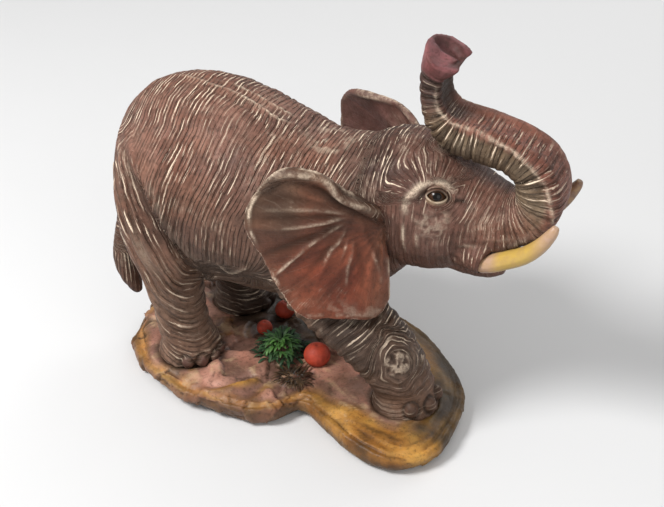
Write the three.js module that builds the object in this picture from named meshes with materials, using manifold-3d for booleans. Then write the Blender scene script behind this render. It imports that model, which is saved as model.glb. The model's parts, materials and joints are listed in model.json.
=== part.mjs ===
// A painted resin elephant that strides over a rocky base with its trunk raised.
// Millimetres, +X towards the head, +Y the animal's left, +Z up, z = 0 on the table.
// The castings are glued up over steel dowels: body with four legs, head, trunk, two ears, tail,
// two tusks and two glass eyes, on a base that carries a plant, a grass tuft and three round fruits.
import * as THREE from "three";
import { mergeVertices } from "three/addons/utils/BufferGeometryUtils.js";
import Module from "manifold-3d";

const wasm = await Module();
wasm.setup();

// Driving sizes
const TORSO_LENGTH = 137; // from the end of the rump to the neck seam
const HIP_HEIGHT = 94; // from the ground to the axis of the torso at the hips
const BASE_HEIGHT = 12.5; // from the underside of the base to the ground
const BASE_LEFT = 56; // how far the base reaches to each side of the animal's middle
const BASE_RIGHT = 66;
const BASE_AHEAD = 54; // how far the base reaches past the neck seam
const BASE_BEHIND = -3; // and past the end of the rump
const FELT_THICK = 1.2;
const NECK_SEAM_X = 36; // ahead of the part's origin

// Joints
const GLUE_GAP = 0.3; // between two castings that are glued together
const FOOT_SINK = 1.5; // how deep each foot is set into the ground
const FELT_INSET = 4; // from the foot of the base to the edge of the felt
const TRUNK_SEAM = 66; // ahead of the neck seam
const NOSE_TOP = 28.5; // above the hips, between the nose and the trunk that comes back over it
const NECK_DOWELS = { radius: 3, length: 30, heights: [-2, 24] };
const TRUNK_DOWEL = { radius: 2.5, behind: 11, ahead: 6.6 };
const FOOT_DOWEL = { radius: 2, length: 30, buried: 8 };

// Levels and ends that the driving sizes give
const BASE_BOTTOM = FELT_THICK + GLUE_GAP;
const GROUND_Z = BASE_BOTTOM + BASE_HEIGHT;
const HIP_Z = GROUND_Z + HIP_HEIGHT;
const RUMP_X = NECK_SEAM_X - TORSO_LENGTH;
const TRUNK_SEAM_X = NECK_SEAM_X + TRUNK_SEAM;

// A body's stations are [x, y, z, half width, half depth above, half depth below]. Above means
// towards the back of a body that runs forward, and towards the front of a leg that runs down.
// In the torso x is a share of its length from the rump, and z is measured from the hips.
const TORSO = [
  [0, 0, 4, 6, 8, 8],
  [0.026, 0, 3, 18, 23, 24],
  [0.095, 0, 2, 32, 40, 38],
  [0.226, 0, 0, 41, 49, 46],
  [0.409, 0, -2, 45, 51, 49],
  [0.591, 0, -5, 44.5, 45.5, 49],
  [0.774, 0, -7, 41, 40, 46],
  [0.898, 0, -4, 36, 38, 42],
  [1.015, 0, 2, 31, 34, 36],
  [1.117, 0, 7, 25, 28, 28],
];
// In the head x is measured from the neck seam and z from the hips.
const SKULL = [
  [-14, 0, 6, 12, 12, 14],
  [-7, 0, 7, 24, 22, 28],
  [6, 0, 10, 29, 28, 35],
  [21, 0, 12, 30, 31, 37],
  [35, 0, 10, 27.5, 26, 35],
  [47, 0, 9, 22, 20, 30],
  [58, 0, 8, 17.5, 16, 22],
  [67, 0, 7, 14, 13, 16],
  [72, 0, 7, 6, 6, 7],
];
const JAW = [
  [22, 0, -4, 14, 12, 16],
  [38, 0, -10, 16, 12, 12.5],
  [50, 0, -16, 12, 9, 9.5],
  [60, 0, -18.5, 8.5, 6, 7],
  [66, 0, -18.5, 4.5, 4, 4],
];
const TRUNK = [
  [44, 0, 9, 20, 19, 17],
  [56, 0, 9, 17.5, 15.5, 14],
  [66, 0, 9, 16, 12.5, 11.5],
  [74.5, 0, 12, 15, 12, 10.5],
  [80.5, 0, 19, 14.5, 13, 10],
  [81, 0, 28.5, 14, 13, 10],
  [76.5, 0, 38, 13.5, 12.5, 9.5],
  [67, 0, 44, 13, 12, 9],
  [55, 0, 47.5, 12.5, 13, 8.5],
  [43, 0, 49.5, 12, 13, 8],
  [34, 0, 53.5, 11.5, 10.5, 6.5],
  [29, 0, 61, 10.5, 7.5, 6],
  [27.5, 0, 70, 10, 7, 6],
  [28.5, 0, 79, 10.5, 7.5, 7],
  [32, 0, 86.5, 13, 10, 10.5],
];
const NOSTRIL = { at: [33.2, 0, 90], size: [6, 8.5, 8] };
const TUSK = [
  [48, 12, -10.5, 4, 4, 4],
  [59, 16, -10, 4.4, 4.4, 4.4],
  [69.5, 18, -4.5, 4.4, 4.4, 4.4],
  [79, 20.5, 2, 4.1, 4.1, 4.1],
  [86, 22, 9.5, 3.6, 3.6, 3.6],
  [91, 22.5, 17.5, 2.7, 2.7, 2.7],
  [92.5, 22, 21, 1.6, 1.6, 1.6],
];
const TUSK_LIP = [
  [38, 6, -3, 8, 9, 8],
  [50, 12, -7, 8.5, 9, 8],
  [60, 16, -8.5, 7, 7, 6.5],
];
// The tail is measured from the end of the rump and the hips.
const TAIL = [
  [9, 0, 30, 5, 5, 5],
  [2, 0, 19, 4.5, 4.5, 4.5],
  [-2.5, -1, 4, 4, 4, 4],
  [-4, -2, -11, 4, 4, 4],
  [-3, -3, -28, 4, 4, 4],
  [-3, -4, -46, 5, 5, 5],
  [-2.5, -5, -60, 7, 6, 6],
  [0.5, -6, -72, 6, 5, 5],
  [4, -6, -81, 2, 2, 2],
];
// A leg's x is measured from the rump or the neck seam, and its z is a share of the hips' height.
const LEGS = {
  right_rear: {
    from: RUMP_X,
    stations: [
      [34, -20, 1, 20, 30, 30],
      [36, -25, 0.723, 18, 22, 24],
      [38, -27, 0.511, 15, 15, 16],
      [40, -27, 0.34, 12.5, 13, 13],
      [42, -26.5, 0.17, 12.5, 13, 12.5],
      [44, -26, 0.074, 14, 15, 14],
    ],
  },
  left_rear: {
    from: RUMP_X,
    stations: [
      [37, 20, 1, 20, 30, 30],
      [41, 25, 0.723, 18, 22, 24],
      [44, 26, 0.511, 15, 15, 16],
      [46, 26, 0.34, 12.5, 13, 13],
      [48, 26, 0.17, 12.5, 13, 12.5],
      [50, 26, 0.074, 14, 15, 14],
    ],
  },
  right_front: {
    from: NECK_SEAM_X,
    stations: [
      [-34, -20, 0.936, 18, 24, 22],
      [-26, -25, 0.723, 17.5, 21, 21],
      [-9, -27, 0.532, 17, 18.5, 17.5],
      [8, -27, 0.383, 16.5, 17, 16.5],
      [20, -26, 0.234, 15.5, 15.5, 15],
      [24, -24.5, 0.128, 14.5, 14.5, 14.5],
      [25, -24, 0.064, 15, 16, 14.5],
    ],
  },
  left_front: {
    from: NECK_SEAM_X,
    stations: [
      [-26, 20, 0.915, 18, 24, 22],
      [-23, 25, 0.702, 17, 18, 18],
      [-21, 27, 0.489, 14.5, 14.5, 14.5],
      [-20, 27, 0.319, 13.5, 13.5, 13.5],
      [-19, 26, 0.181, 13, 13, 13],
      [-18, 26, 0.074, 14.5, 15.5, 14],
    ],
  },
};
const SOLE = { wide: 16.5, over: 18, under: 15.5 };
const TOE = { count: 4, spread: 78, set: 1.2, lift: 4.5, size: [3, 3.6, 4.2] };

// The ball of the eye sits in the skull at this station, turned up from the side and sunk.
const EYE = { x: 34.7, turn: 34.25, sunk: 1.3, radius: 4.6 };

// An ear's outline is [x, z] from its root. The two ears differ in how their top edge is held.
const EAR_ROOT = { x: 15, z: 9 };
const EAR_RIM = [
  [-56, 1],
  [-52, -12],
  [-46, -26],
  [-39, -38],
  [-31, -47],
  [-21, -50],
  [-12, -51.5],
  [-4, -48],
  [2, -40],
  [3, -26],
  [2, -11],
];
const EAR_THICK = 3.4;
const EAR_BULGE = 5;
const EAR_FOLD = { deep: 1.6, count: 4.5 };
const EAR_FLARE = 0.48; // how far an ear stands out for each millimetre back from its root
const EARS = {
  right: {
    side: -1,
    root: 30,
    top: [
      [-2, 9],
      [-12, 18],
      [-23, 27],
      [-37, 31.5],
      [-47, 26],
      [-55, 14],
    ],
  },
  left: {
    side: 1,
    root: 29,
    top: [
      [-4, 18],
      [-13, 24],
      [-24, 25],
      [-37, 24],
      [-48, 22],
      [-56, 13],
    ],
  },
};

// The base's outline, anticlockwise from above, as shares of its length and its width.
const BASE_OUTLINE = [
  [1, 0.295],
  [0.989, 0.492],
  [0.952, 0.607],
  [0.888, 0.721],
  [0.803, 0.852],
  [0.681, 0.951],
  [0.468, 1],
  [0.255, 0.984],
  [0.085, 0.885],
  [0, 0.705],
  [0, 0.508],
  [0.037, 0.328],
  [0.122, 0.189],
  [0.261, 0.09],
  [0.362, 0.066],
  [0.479, 0.066],
  [0.543, 0.123],
  [0.59, 0.197],
  [0.67, 0.131],
  [0.793, 0.025],
  [0.904, 0],
  [0.979, 0.107],
];
const BASE_CENTRE = [0.548, 0.525];
// How far each level of the base's side lies inside the outline, and its share of the height.
const BASE_SIDE = [
  [3, 0],
  [0.8, 0.2],
  [0, 0.48],
  [1.6, 0.76],
  [5, 0.93],
];
const BASE_TOP_RINGS = 6;
const GROUND_WAVE = 1.2; // the most that the ground rises above its level

// The fruits and plants grow ahead of the left rear foot, and x is measured from it.
const FRUITS = {
  fruit_large: { x: 61, y: -13, radius: 7, raised: 5 },
  fruit_small: { x: 25, y: 1, radius: 4.3, raised: 3 },
  fruit_shaded: { x: 29, y: 19, radius: 5.5, raised: 4 },
};
const PLUG = { depth: 3, above: 2.2 }; // below and above the ground
const PLANT = {
  x: 40,
  y: -12,
  radius: 13,
  height: 13,
  core: { aside: 3, above: 1.2 }, // how far the plant's core covers the roots of its leaves
  leaves: 22,
  leaf: { length: 8, width: 4.4, thick: 1.4 },
  steepest: 0.85,
  flattest: 0.1,
  plugRadius: 5,
};
const GRASS = {
  x: 54,
  y: -29,
  mound: [3.3, 2.8, 3.4],
  blades: 9,
  blade: { length: 7, width: 1.8, thick: 1.6 },
  spread: 1.1,
  rises: [0.5, 0.75, 1],
  plugRadius: 2,
};

const COLOURS = {
  hide: 0x6b4a42,
  ear: 0x84493a,
  ivory: 0xd9b45a,
  eye: 0x1c120c,
  ground: 0x9a7455,
  felt: 0x1f2a22,
  steel: 0x9a9c9f,
  fruit: 0xc23a22,
  leaf: 0x1f5a34,
  grass: 0x4a3524,
};

// A geometry as a manifold solid, with its shared vertices merged.
function solid(geometry) {
  const bare = geometry.clone();
  bare.deleteAttribute("normal");
  bare.deleteAttribute("uv");
  const merged = mergeVertices(bare, 1e-4);
  const made = new wasm.Manifold(
    new wasm.Mesh({
      numProp: 3,
      vertProperties: merged.attributes.position.array,
      triVerts: new Uint32Array(merged.index.array),
    }),
  );
  if (made.volume() < 0) throw new Error("a solid is inside out");
  return made;
}

function geometryOf(manifold) {
  const mesh = manifold.getMesh();
  const geometry = new THREE.BufferGeometry();
  geometry.setAttribute("position", new THREE.BufferAttribute(mesh.vertProperties, 3));
  geometry.setIndex(new THREE.BufferAttribute(mesh.triVerts, 1));
  geometry.computeVertexNormals();
  return geometry;
}

const union = (solids) => solids.reduce((all, s) => all.add(s));
const without = (piece, cutters) => cutters.reduce((left, c) => left.subtract(c), piece);

// Shapes

// Rows of points joined into one closed skin, with a fan over each end.
function skin(rows) {
  const count = rows[0].length;
  const points = [...rows.flat(), middle(rows[0]), middle(rows.at(-1))];
  const first = points.length - 2;
  const last = points.length - 1;
  const faces = [];
  for (let i = 0; i < count; i++) {
    const j = (i + 1) % count;
    for (let row = 0; row + 1 < rows.length; row++) {
      const a = row * count;
      const b = a + count;
      faces.push([a + i, a + j, b + j], [a + i, b + j, b + i]);
    }
    const end = (rows.length - 1) * count;
    faces.push([first, j, i], [last, end + i, end + j]);
  }
  const geometry = new THREE.BufferGeometry().setFromPoints(points);
  geometry.setIndex(faces.flat());
  return geometry;
}

function middle(points) {
  return points.reduce((sum, p) => sum.add(p), new THREE.Vector3()).divideScalar(points.length);
}

function curve(points) {
  return new THREE.CatmullRomCurve3(points.map((p) => new THREE.Vector3(...p)), false, "catmullrom");
}

// Stations with a few more in each gap, on a smooth curve.
function smooth(stations, steps) {
  const path = curve(stations.map((s) => s.slice(0, 3)));
  const size = curve(stations.map((s) => s.slice(3)));
  const gaps = (stations.length - 1) * steps;
  return Array.from({ length: gaps + 1 }, (_, i) => ({
    at: path.getPoint(i / gaps),
    along: path.getTangent(i / gaps),
    size: size.getPoint(i / gaps),
  }));
}

const LEFT = new THREE.Vector3(0, 1, 0);
const FAR = 400;
const ROUND = [2.15, 2.15];

// A point on the ring of a station. Squareness is 2 for an ellipse and more for a boxier side,
// above and below.
function onRing({ at, along, size }, angle, grow, squareness) {
  const over = along.clone().cross(LEFT).normalize();
  const across = over.clone().cross(along).normalize();
  const corner = (v, power) => Math.sign(v) * Math.abs(v) ** (2 / power);
  const [depth, power] = Math.sin(angle) > 0 ? [size.y, squareness[0]] : [size.z, squareness[1]];
  return at
    .clone()
    .addScaledVector(across, (size.x + grow) * corner(Math.cos(angle), power))
    .addScaledVector(over, (depth + grow) * corner(Math.sin(angle), power));
}

function loft(stations, { sides = 24, steps = 3, grow = 0, squareness = ROUND } = {}) {
  const run = smooth(stations, steps);
  run[0].at.addScaledVector(run[0].along, -grow);
  run.at(-1).at.addScaledVector(run.at(-1).along, grow);
  const angles = Array.from({ length: sides }, (_, i) => (i / sides) * 2 * Math.PI);
  return solid(skin(run.map((s) => angles.map((angle) => onRing(s, angle, grow, squareness)))));
}

// The first station of a run that goes past this x.
function stationAt(stations, x) {
  return smooth(stations, 40).find((s) => s.at.x >= x);
}

function box(from, to) {
  const size = to.map((v, i) => v - from[i]);
  const geometry = new THREE.BoxGeometry(...size);
  geometry.translate(...from.map((v, i) => v + size[i] / 2));
  return solid(geometry);
}

function ball(at, radii, across = 16, down = 12) {
  const geometry = new THREE.SphereGeometry(1, across, down);
  geometry.rotateX(Math.PI / 2);
  geometry.scale(...radii);
  geometry.translate(...at);
  return solid(geometry);
}

// A round dowel between two points, or the hole for it.
function dowel(from, to, radius, clearance = 0) {
  const start = new THREE.Vector3(...from);
  const run = new THREE.Vector3(...to).sub(start);
  const wide = radius + clearance;
  const geometry = new THREE.CylinderGeometry(wide, wide, run.length() + 2 * clearance, 14);
  geometry.applyQuaternion(new THREE.Quaternion().setFromUnitVectors(LEFT, run.clone().normalize()));
  geometry.translate(...start.addScaledVector(run, 0.5).toArray());
  return solid(geometry);
}

// Places of the groups

const onTorso = ([share, y, z, ...size]) => [RUMP_X + share * TORSO_LENGTH, y, HIP_Z + z, ...size];
const onRump = ([x, y, z, ...size]) => [RUMP_X + x, y, HIP_Z + z, ...size];
const onHead = ([x, y, z, ...size]) => [NECK_SEAM_X + x, y, HIP_Z + z, ...size];
const sideOf = (stations, side) => stations.map(([x, y, ...rest]) => [x, side * y, ...rest]);
const legStations = ({ from, stations }) =>
  stations.map(([x, y, share, ...size]) => [from + x, y, GROUND_Z + share * HIP_HEIGHT, ...size]);

const skullStations = SKULL.map(onHead);
const trunkStations = TRUNK.map(onHead);

// Torso and legs

// The torso can be set back a little, for a cutter that leaves room behind the steep rump.
function torso(grow = 0, back = 0) {
  const stations = TORSO.map(onTorso).map(([x, ...rest]) => [x - back, ...rest]);
  return loft(stations, { sides: 26, steps: 2, grow });
}

// Each leg has its sole set a little into the ground and a row of toenails.
function leg(name, grow = 0) {
  const stations = legStations(LEGS[name]);
  const [x, y] = stations.at(-1);
  const sole = [x, y, GROUND_Z - FOOT_SINK, SOLE.wide, SOLE.over, SOLE.under];
  const limb = loft([...stations, sole], { sides: 16, steps: 2, grow });
  const toes = Array.from({ length: TOE.count }, (_, i) => {
    const angle = THREE.MathUtils.degToRad(((i + 0.5) / TOE.count - 0.5) * 2 * TOE.spread);
    const ahead = (SOLE.over - TOE.set) * Math.cos(angle);
    const aside = (SOLE.wide - TOE.set) * Math.sin(angle);
    return ball([x + ahead, y + aside, GROUND_Z + TOE.lift], TOE.size.map((s) => s + grow), 8, 6);
  });
  return union([limb, ...toes]);
}

function footDowel(name, clearance = 0) {
  const [x, y] = legStations(LEGS[name]).at(-1);
  const bottom = GROUND_Z - FOOT_DOWEL.buried;
  return dowel([x, y, bottom], [x, y, bottom + FOOT_DOWEL.length], FOOT_DOWEL.radius, clearance);
}

function neckDowel(height, clearance = 0) {
  const half = NECK_DOWELS.length / 2;
  const z = HIP_Z + height;
  return dowel([NECK_SEAM_X - half, 0, z], [NECK_SEAM_X + half, 0, z], NECK_DOWELS.radius, clearance);
}

// Head

const skull = (grow = 0) => loft(skullStations, { sides: 26, steps: 2, grow });
const jaw = () => loft(JAW.map(onHead), { sides: 16 });
const lip = (side) => loft(sideOf(TUSK_LIP.map(onHead), side), { sides: 14 });
const tusk = (side, grow = 0) => loft(sideOf(TUSK.map(onHead), side), { sides: 12, grow });

// The trunk starts inside the face and comes back over the forehead, well clear of it.
const trunkRun = () => loft(trunkStations, { sides: 20, squareness: [2, 4.5] });
const nostrils = () => ball(onHead(NOSTRIL.at), NOSTRIL.size, 12, 10);

function trunkDowel(clearance = 0) {
  const { z } = stationAt(trunkStations, TRUNK_SEAM_X).at;
  const from = [TRUNK_SEAM_X - TRUNK_DOWEL.behind, 0, z];
  const to = [TRUNK_SEAM_X + TRUNK_DOWEL.ahead, 0, z];
  return dowel(from, to, TRUNK_DOWEL.radius, clearance);
}

function eyeBall(side, grow = 0) {
  const station = stationAt(skullStations, NECK_SEAM_X + EYE.x);
  const skinPoint = onRing(station, THREE.MathUtils.degToRad(EYE.turn), 0, ROUND);
  const inward = station.at.clone().sub(skinPoint).setLength(EYE.sunk);
  const { x, y, z } = skinPoint.add(inward);
  return ball([x, side * y, z], [1, 1, 1].map(() => EYE.radius + grow));
}

// An ear is a thin shell that fans out from its root, with radial folds.
function ear({ side, root, top }, grow = 0) {
  const rim = curve([...top, ...EAR_RIM].map(([x, z]) => [x, 0, z])).getPoints(34);
  const centre = new THREE.Vector3(NECK_SEAM_X + EAR_ROOT.x, 0, HIP_Z + EAR_ROOT.z);
  const reach = 7;
  // Each ring runs out along one face and back along the other, so the fan closes round its rim.
  const rows = rim.map((edge, i) => {
    const fold = EAR_FOLD.deep * Math.cos((i / rim.length) * 2 * Math.PI * EAR_FOLD.count);
    const inward = [];
    const outward = [];
    for (let k = 0; k <= reach; k++) {
      const share = k / reach;
      const p = edge.clone().multiplyScalar(share).add(centre);
      const flare = EAR_FLARE * (centre.x - p.x);
      const bulge = EAR_BULGE * Math.sin(share * Math.PI * 0.9);
      const away = root + flare + bulge - fold * share ** 1.5;
      const half = (EAR_THICK / 2) * (1.15 - 0.75 * share ** 3) + grow;
      inward.push(new THREE.Vector3(p.x, side * (away - half), p.z));
      outward.push(new THREE.Vector3(p.x, side * (away + half), p.z));
    }
    const loop = [...inward, ...outward.reverse()];
    return side < 0 ? loop.reverse() : loop;
  });
  return solid(skin(rows));
}

// Base

const baseStart = RUMP_X - BASE_BEHIND;
const baseLength = TORSO_LENGTH + BASE_BEHIND + BASE_AHEAD;
const baseWidth = BASE_LEFT + BASE_RIGHT;

function onBase([along, across]) {
  return new THREE.Vector3(baseStart + along * baseLength, across * baseWidth - BASE_RIGHT, 0);
}

function baseOutline(inset) {
  const path = new THREE.CatmullRomCurve3(BASE_OUTLINE.map(onBase), true, "centripetal");
  const centre = onBase(BASE_CENTRE);
  const inwards = (p) => p.addScaledVector(centre.clone().sub(p).normalize(), inset);
  return path.getPoints(60).slice(0, -1).map(inwards);
}

function groundHeight(x, y) {
  const swell = 0.6 * Math.sin(x / 11 + 0.6) * Math.cos(y / 9);
  const ripple = 0.4 * Math.sin(x / 5.3 + y / 7.1);
  return GROUND_Z + GROUND_WAVE * (swell + ripple);
}

function base() {
  const rows = BASE_SIDE.map(([inset, share]) =>
    baseOutline(inset).map((p) => p.setZ(BASE_BOTTOM + share * BASE_HEIGHT)),
  );
  const brow = rows.at(-1);
  const centre = onBase(BASE_CENTRE);
  for (let k = 1; k <= BASE_TOP_RINGS; k++) {
    const share = (k / (BASE_TOP_RINGS + 0.4)) ** 0.9;
    const inner = brow.map((p) => p.clone().lerp(centre, share));
    rows.push(inner.map((p) => p.setZ(groundHeight(p.x, p.y))));
  }
  return solid(skin(rows));
}

function felt() {
  const outline = baseOutline(BASE_SIDE[0][0] + FELT_INSET);
  const shape = new THREE.Shape(outline.map((p) => new THREE.Vector2(p.x, p.y)));
  return solid(new THREE.ExtrudeGeometry(shape, { depth: FELT_THICK, bevelEnabled: false }));
}

// Plant, grass and fruits

const GOLDEN_ANGLE = Math.PI * (3 - Math.sqrt(5));
const growth = ({ x, ...spec }) => ({ ...spec, x: legStations(LEGS.left_rear).at(-1)[0] + x });
const plantSpec = growth(PLANT);
const grassSpec = growth(GRASS);
const fruitSpecs = Object.entries(FRUITS).map(([name, spec]) => [name, growth(spec)]);

function blade(at, { length, width, thick }, turn, rise) {
  const geometry = new THREE.OctahedronGeometry(1);
  geometry.scale(length / 2, width / 2, thick / 2);
  geometry.translate(length / 2, 0, 0);
  geometry.rotateY(-rise);
  geometry.rotateZ(turn);
  geometry.translate(...at);
  return solid(geometry);
}

// A plant or tuft stands on a round plug, with its leafage clear of the rough ground.
function plug({ x, y, plugRadius }, clearance = 0) {
  const from = [x, y, GROUND_Z - PLUG.depth];
  return dowel(from, [x, y, GROUND_Z + PLUG.above], plugRadius, clearance);
}

function planted(spec, leafage) {
  const clear = GROUND_Z + GROUND_WAVE + GLUE_GAP;
  const below = box([-FAR, -FAR, -FAR], [FAR, FAR, clear]);
  return union(leafage).subtract(below).add(plug(spec));
}

function plant() {
  const { x, y, radius, height, core, leaves, leaf, steepest, flattest } = plantSpec;
  const crown = height - leaf.length * Math.sin(steepest);
  const reach = radius - leaf.length;
  const mound = [reach + core.aside, reach + core.aside, crown + core.above];
  const leafage = Array.from({ length: leaves }, (_, i) => {
    const share = (i + 0.5) / leaves;
    const turn = i * GOLDEN_ANGLE;
    const out = reach * Math.sqrt(share);
    const z = GROUND_Z + crown * (1 - 0.62 * share);
    const rise = steepest + (flattest - steepest) * share;
    return blade([x + out * Math.cos(turn), y + out * Math.sin(turn), z], leaf, turn, rise);
  });
  return planted(plantSpec, [ball([x, y, GROUND_Z], mound, 12, 8), ...leafage]);
}

function grass() {
  const { x, y, mound, blades, blade: leaf, spread, rises } = grassSpec;
  const tufts = Array.from({ length: blades }, (_, i) => {
    const turn = i * GOLDEN_ANGLE;
    const at = [x + spread * Math.cos(turn), y + spread * Math.sin(turn), GROUND_Z + GROUND_WAVE];
    return blade(at, leaf, turn, rises[i % rises.length]);
  });
  return planted(grassSpec, [ball([x, y, GROUND_Z], mound, 10, 6), ...tufts]);
}

function fruit({ x, y, radius, raised }, grow = 0) {
  return ball([x, y, GROUND_Z + raised], [1, 1, 0.94].map((share) => share * radius + grow), 16, 12);
}

// Assembly

const pieces = [];
function add(name, manifold, colour, roughness = 0.7, metalness = 0) {
  const material = new THREE.MeshStandardMaterial({ color: COLOURS[colour], roughness, metalness });
  const mesh = new THREE.Mesh(geometryOf(manifold), material);
  mesh.name = name;
  pieces.push(mesh);
}

const SIDES = { right: -1, left: 1 };
const sideSigns = Object.values(SIDES);
const legNames = Object.keys(LEGS);
const legs = legNames.map((name) => leg(name));
const neckHoles = NECK_DOWELS.heights.map((height) => neckDowel(height, GLUE_GAP));
const footHoles = legNames.map((name) => footDowel(name, GLUE_GAP));
const tuskHoles = sideSigns.map((side) => tusk(side, GLUE_GAP));
const legRoom = legNames.map((name) => leg(name, GLUE_GAP));

const behind = (x, top = FAR) => box([-FAR, -FAR, -FAR], [x, FAR, top]);
const ahead = (x) => box([x, -FAR, -FAR], [FAR, FAR, FAR]);
const half = GLUE_GAP / 2;
const noseTop = HIP_Z + NOSE_TOP;
const torsoAndSkull = union([torso(), skull()]);
const fullTrunk = trunkRun();

const hind = union([torsoAndSkull.intersect(behind(NECK_SEAM_X - half)), ...legs]);
add("body_with_legs", without(hind, [...neckHoles, ...footHoles]), "hide");

const nose = fullTrunk.intersect(behind(TRUNK_SEAM_X - half, noseTop));
const face = union([torsoAndSkull, jaw(), ...sideSigns.map(lip), nose])
  .intersect(ahead(NECK_SEAM_X + half))
  .intersect(behind(TRUNK_SEAM_X - half));
const eyeHoles = sideSigns.map((side) => eyeBall(side, GLUE_GAP));
const headHoles = [...neckHoles, trunkDowel(GLUE_GAP), ...eyeHoles, ...tuskHoles];
add("head", without(face, [...legs, ...headHoles]), "hide");

const notTrunk = behind(TRUNK_SEAM_X + half, noseTop);
add("trunk", without(fullTrunk, [notTrunk, nostrils(), trunkDowel(GLUE_GAP), ...tuskHoles]), "hide");

const earRoom = [skull(GLUE_GAP), torso(GLUE_GAP), ...legRoom];
for (const [name, spec] of Object.entries(EARS)) add(`${name}_ear`, without(ear(spec), earRoom), "ear");

const tail = loft(TAIL.map(onRump), { sides: 12, steps: 2 });
add("tail", without(tail, [torso(GLUE_GAP, GLUE_GAP), ...legRoom]), "hide");

for (const [name, side] of Object.entries(SIDES)) {
  add(`${name}_tusk`, tusk(side), "ivory", 0.45);
  add(`${name}_eye`, eyeBall(side), "eye", 0.08);
}

const fruitRoom = fruitSpecs.map(([, spec]) => fruit(spec, GLUE_GAP));
const plugHoles = [plantSpec, grassSpec].map((spec) => plug(spec, GLUE_GAP));
add("rocky_base", without(base(), [...legRoom, ...footHoles, ...fruitRoom, ...plugHoles]), "ground");
add("felt_pad", felt(), "felt", 0.95);

for (const name of legNames) add(`${name}_foot_dowel`, footDowel(name), "steel", 0.4, 1);
NECK_DOWELS.heights.forEach((height, i) => add(`neck_dowel_${i + 1}`, neckDowel(height), "steel", 0.4, 1));
add("trunk_dowel", trunkDowel(), "steel", 0.4, 1);
for (const [name, spec] of fruitSpecs) add(name, fruit(spec), "fruit", 0.5);
add("leafy_plant", plant(), "leaf", 0.6);
add("grass_tuft", grass(), "grass", 0.8);

const elephant = new THREE.Group();
elephant.add(...pieces);
export default elephant;
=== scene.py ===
"""The painted finish of a resin elephant that strides over a rocky base.

The packed castings are fused into one fine skin, wrinkled, painted and split again at their
glue seams. Working sizes are millimetres, and become metres when a mesh is made.
"""

import json
import math
from contextlib import contextmanager

import bmesh
import bpy
import numpy as np
from bpy.props import FloatProperty, FloatVectorProperty, IntProperty, PointerProperty
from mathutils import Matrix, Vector
from mathutils.bvhtree import BVHTree


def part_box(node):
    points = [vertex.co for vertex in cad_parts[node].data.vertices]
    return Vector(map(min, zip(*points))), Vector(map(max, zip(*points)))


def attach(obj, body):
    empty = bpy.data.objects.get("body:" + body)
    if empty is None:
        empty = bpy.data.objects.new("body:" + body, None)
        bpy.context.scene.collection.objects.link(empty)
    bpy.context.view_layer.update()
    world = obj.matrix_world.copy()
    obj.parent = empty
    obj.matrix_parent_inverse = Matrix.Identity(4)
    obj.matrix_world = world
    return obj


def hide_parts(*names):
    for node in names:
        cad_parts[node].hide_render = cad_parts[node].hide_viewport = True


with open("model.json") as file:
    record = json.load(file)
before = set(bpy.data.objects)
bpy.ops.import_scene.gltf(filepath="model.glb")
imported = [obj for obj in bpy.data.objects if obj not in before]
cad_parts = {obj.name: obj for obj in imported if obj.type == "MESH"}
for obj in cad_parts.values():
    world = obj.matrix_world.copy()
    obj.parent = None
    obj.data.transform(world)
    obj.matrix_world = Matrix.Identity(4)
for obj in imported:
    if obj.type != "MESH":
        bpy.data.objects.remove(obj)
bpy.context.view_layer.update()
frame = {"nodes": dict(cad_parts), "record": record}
NODES = frame["nodes"]

bl_info = {
    "name": "Painted Resin Elephant",
    "version": (1, 0, 0),
    "blender": (4, 5, 0),
    "location": "View3D > Sidebar > Elephant",
    "description": "Dresses the castings of a resin elephant with wrinkled, dry-brushed paint",
    "category": "Object",
}

MM = 0.001
JOIN_REACH = 1e-6  # metres within which points are joined
BODY = "root"
BLACK = (0, 0, 0)
EYE_WHITE = (0.16, 0.11, 0.07)
LAYER_KINDS = {"grain": ("FLOAT_VECTOR", "vector"), "tone": ("FLOAT_COLOR", "color")}
CASTINGS = ("body_with_legs", "head", "trunk", "right_ear", "left_ear", "tail")


def colour(name, description, default):
    return FloatVectorProperty(
        name=name, description=description, subtype="COLOR", size=3, min=0, max=1, default=default
    )


def length(name, description, default):
    return FloatProperty(
        name=name, description=description, subtype="DISTANCE", unit="LENGTH", default=default * MM
    )


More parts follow.
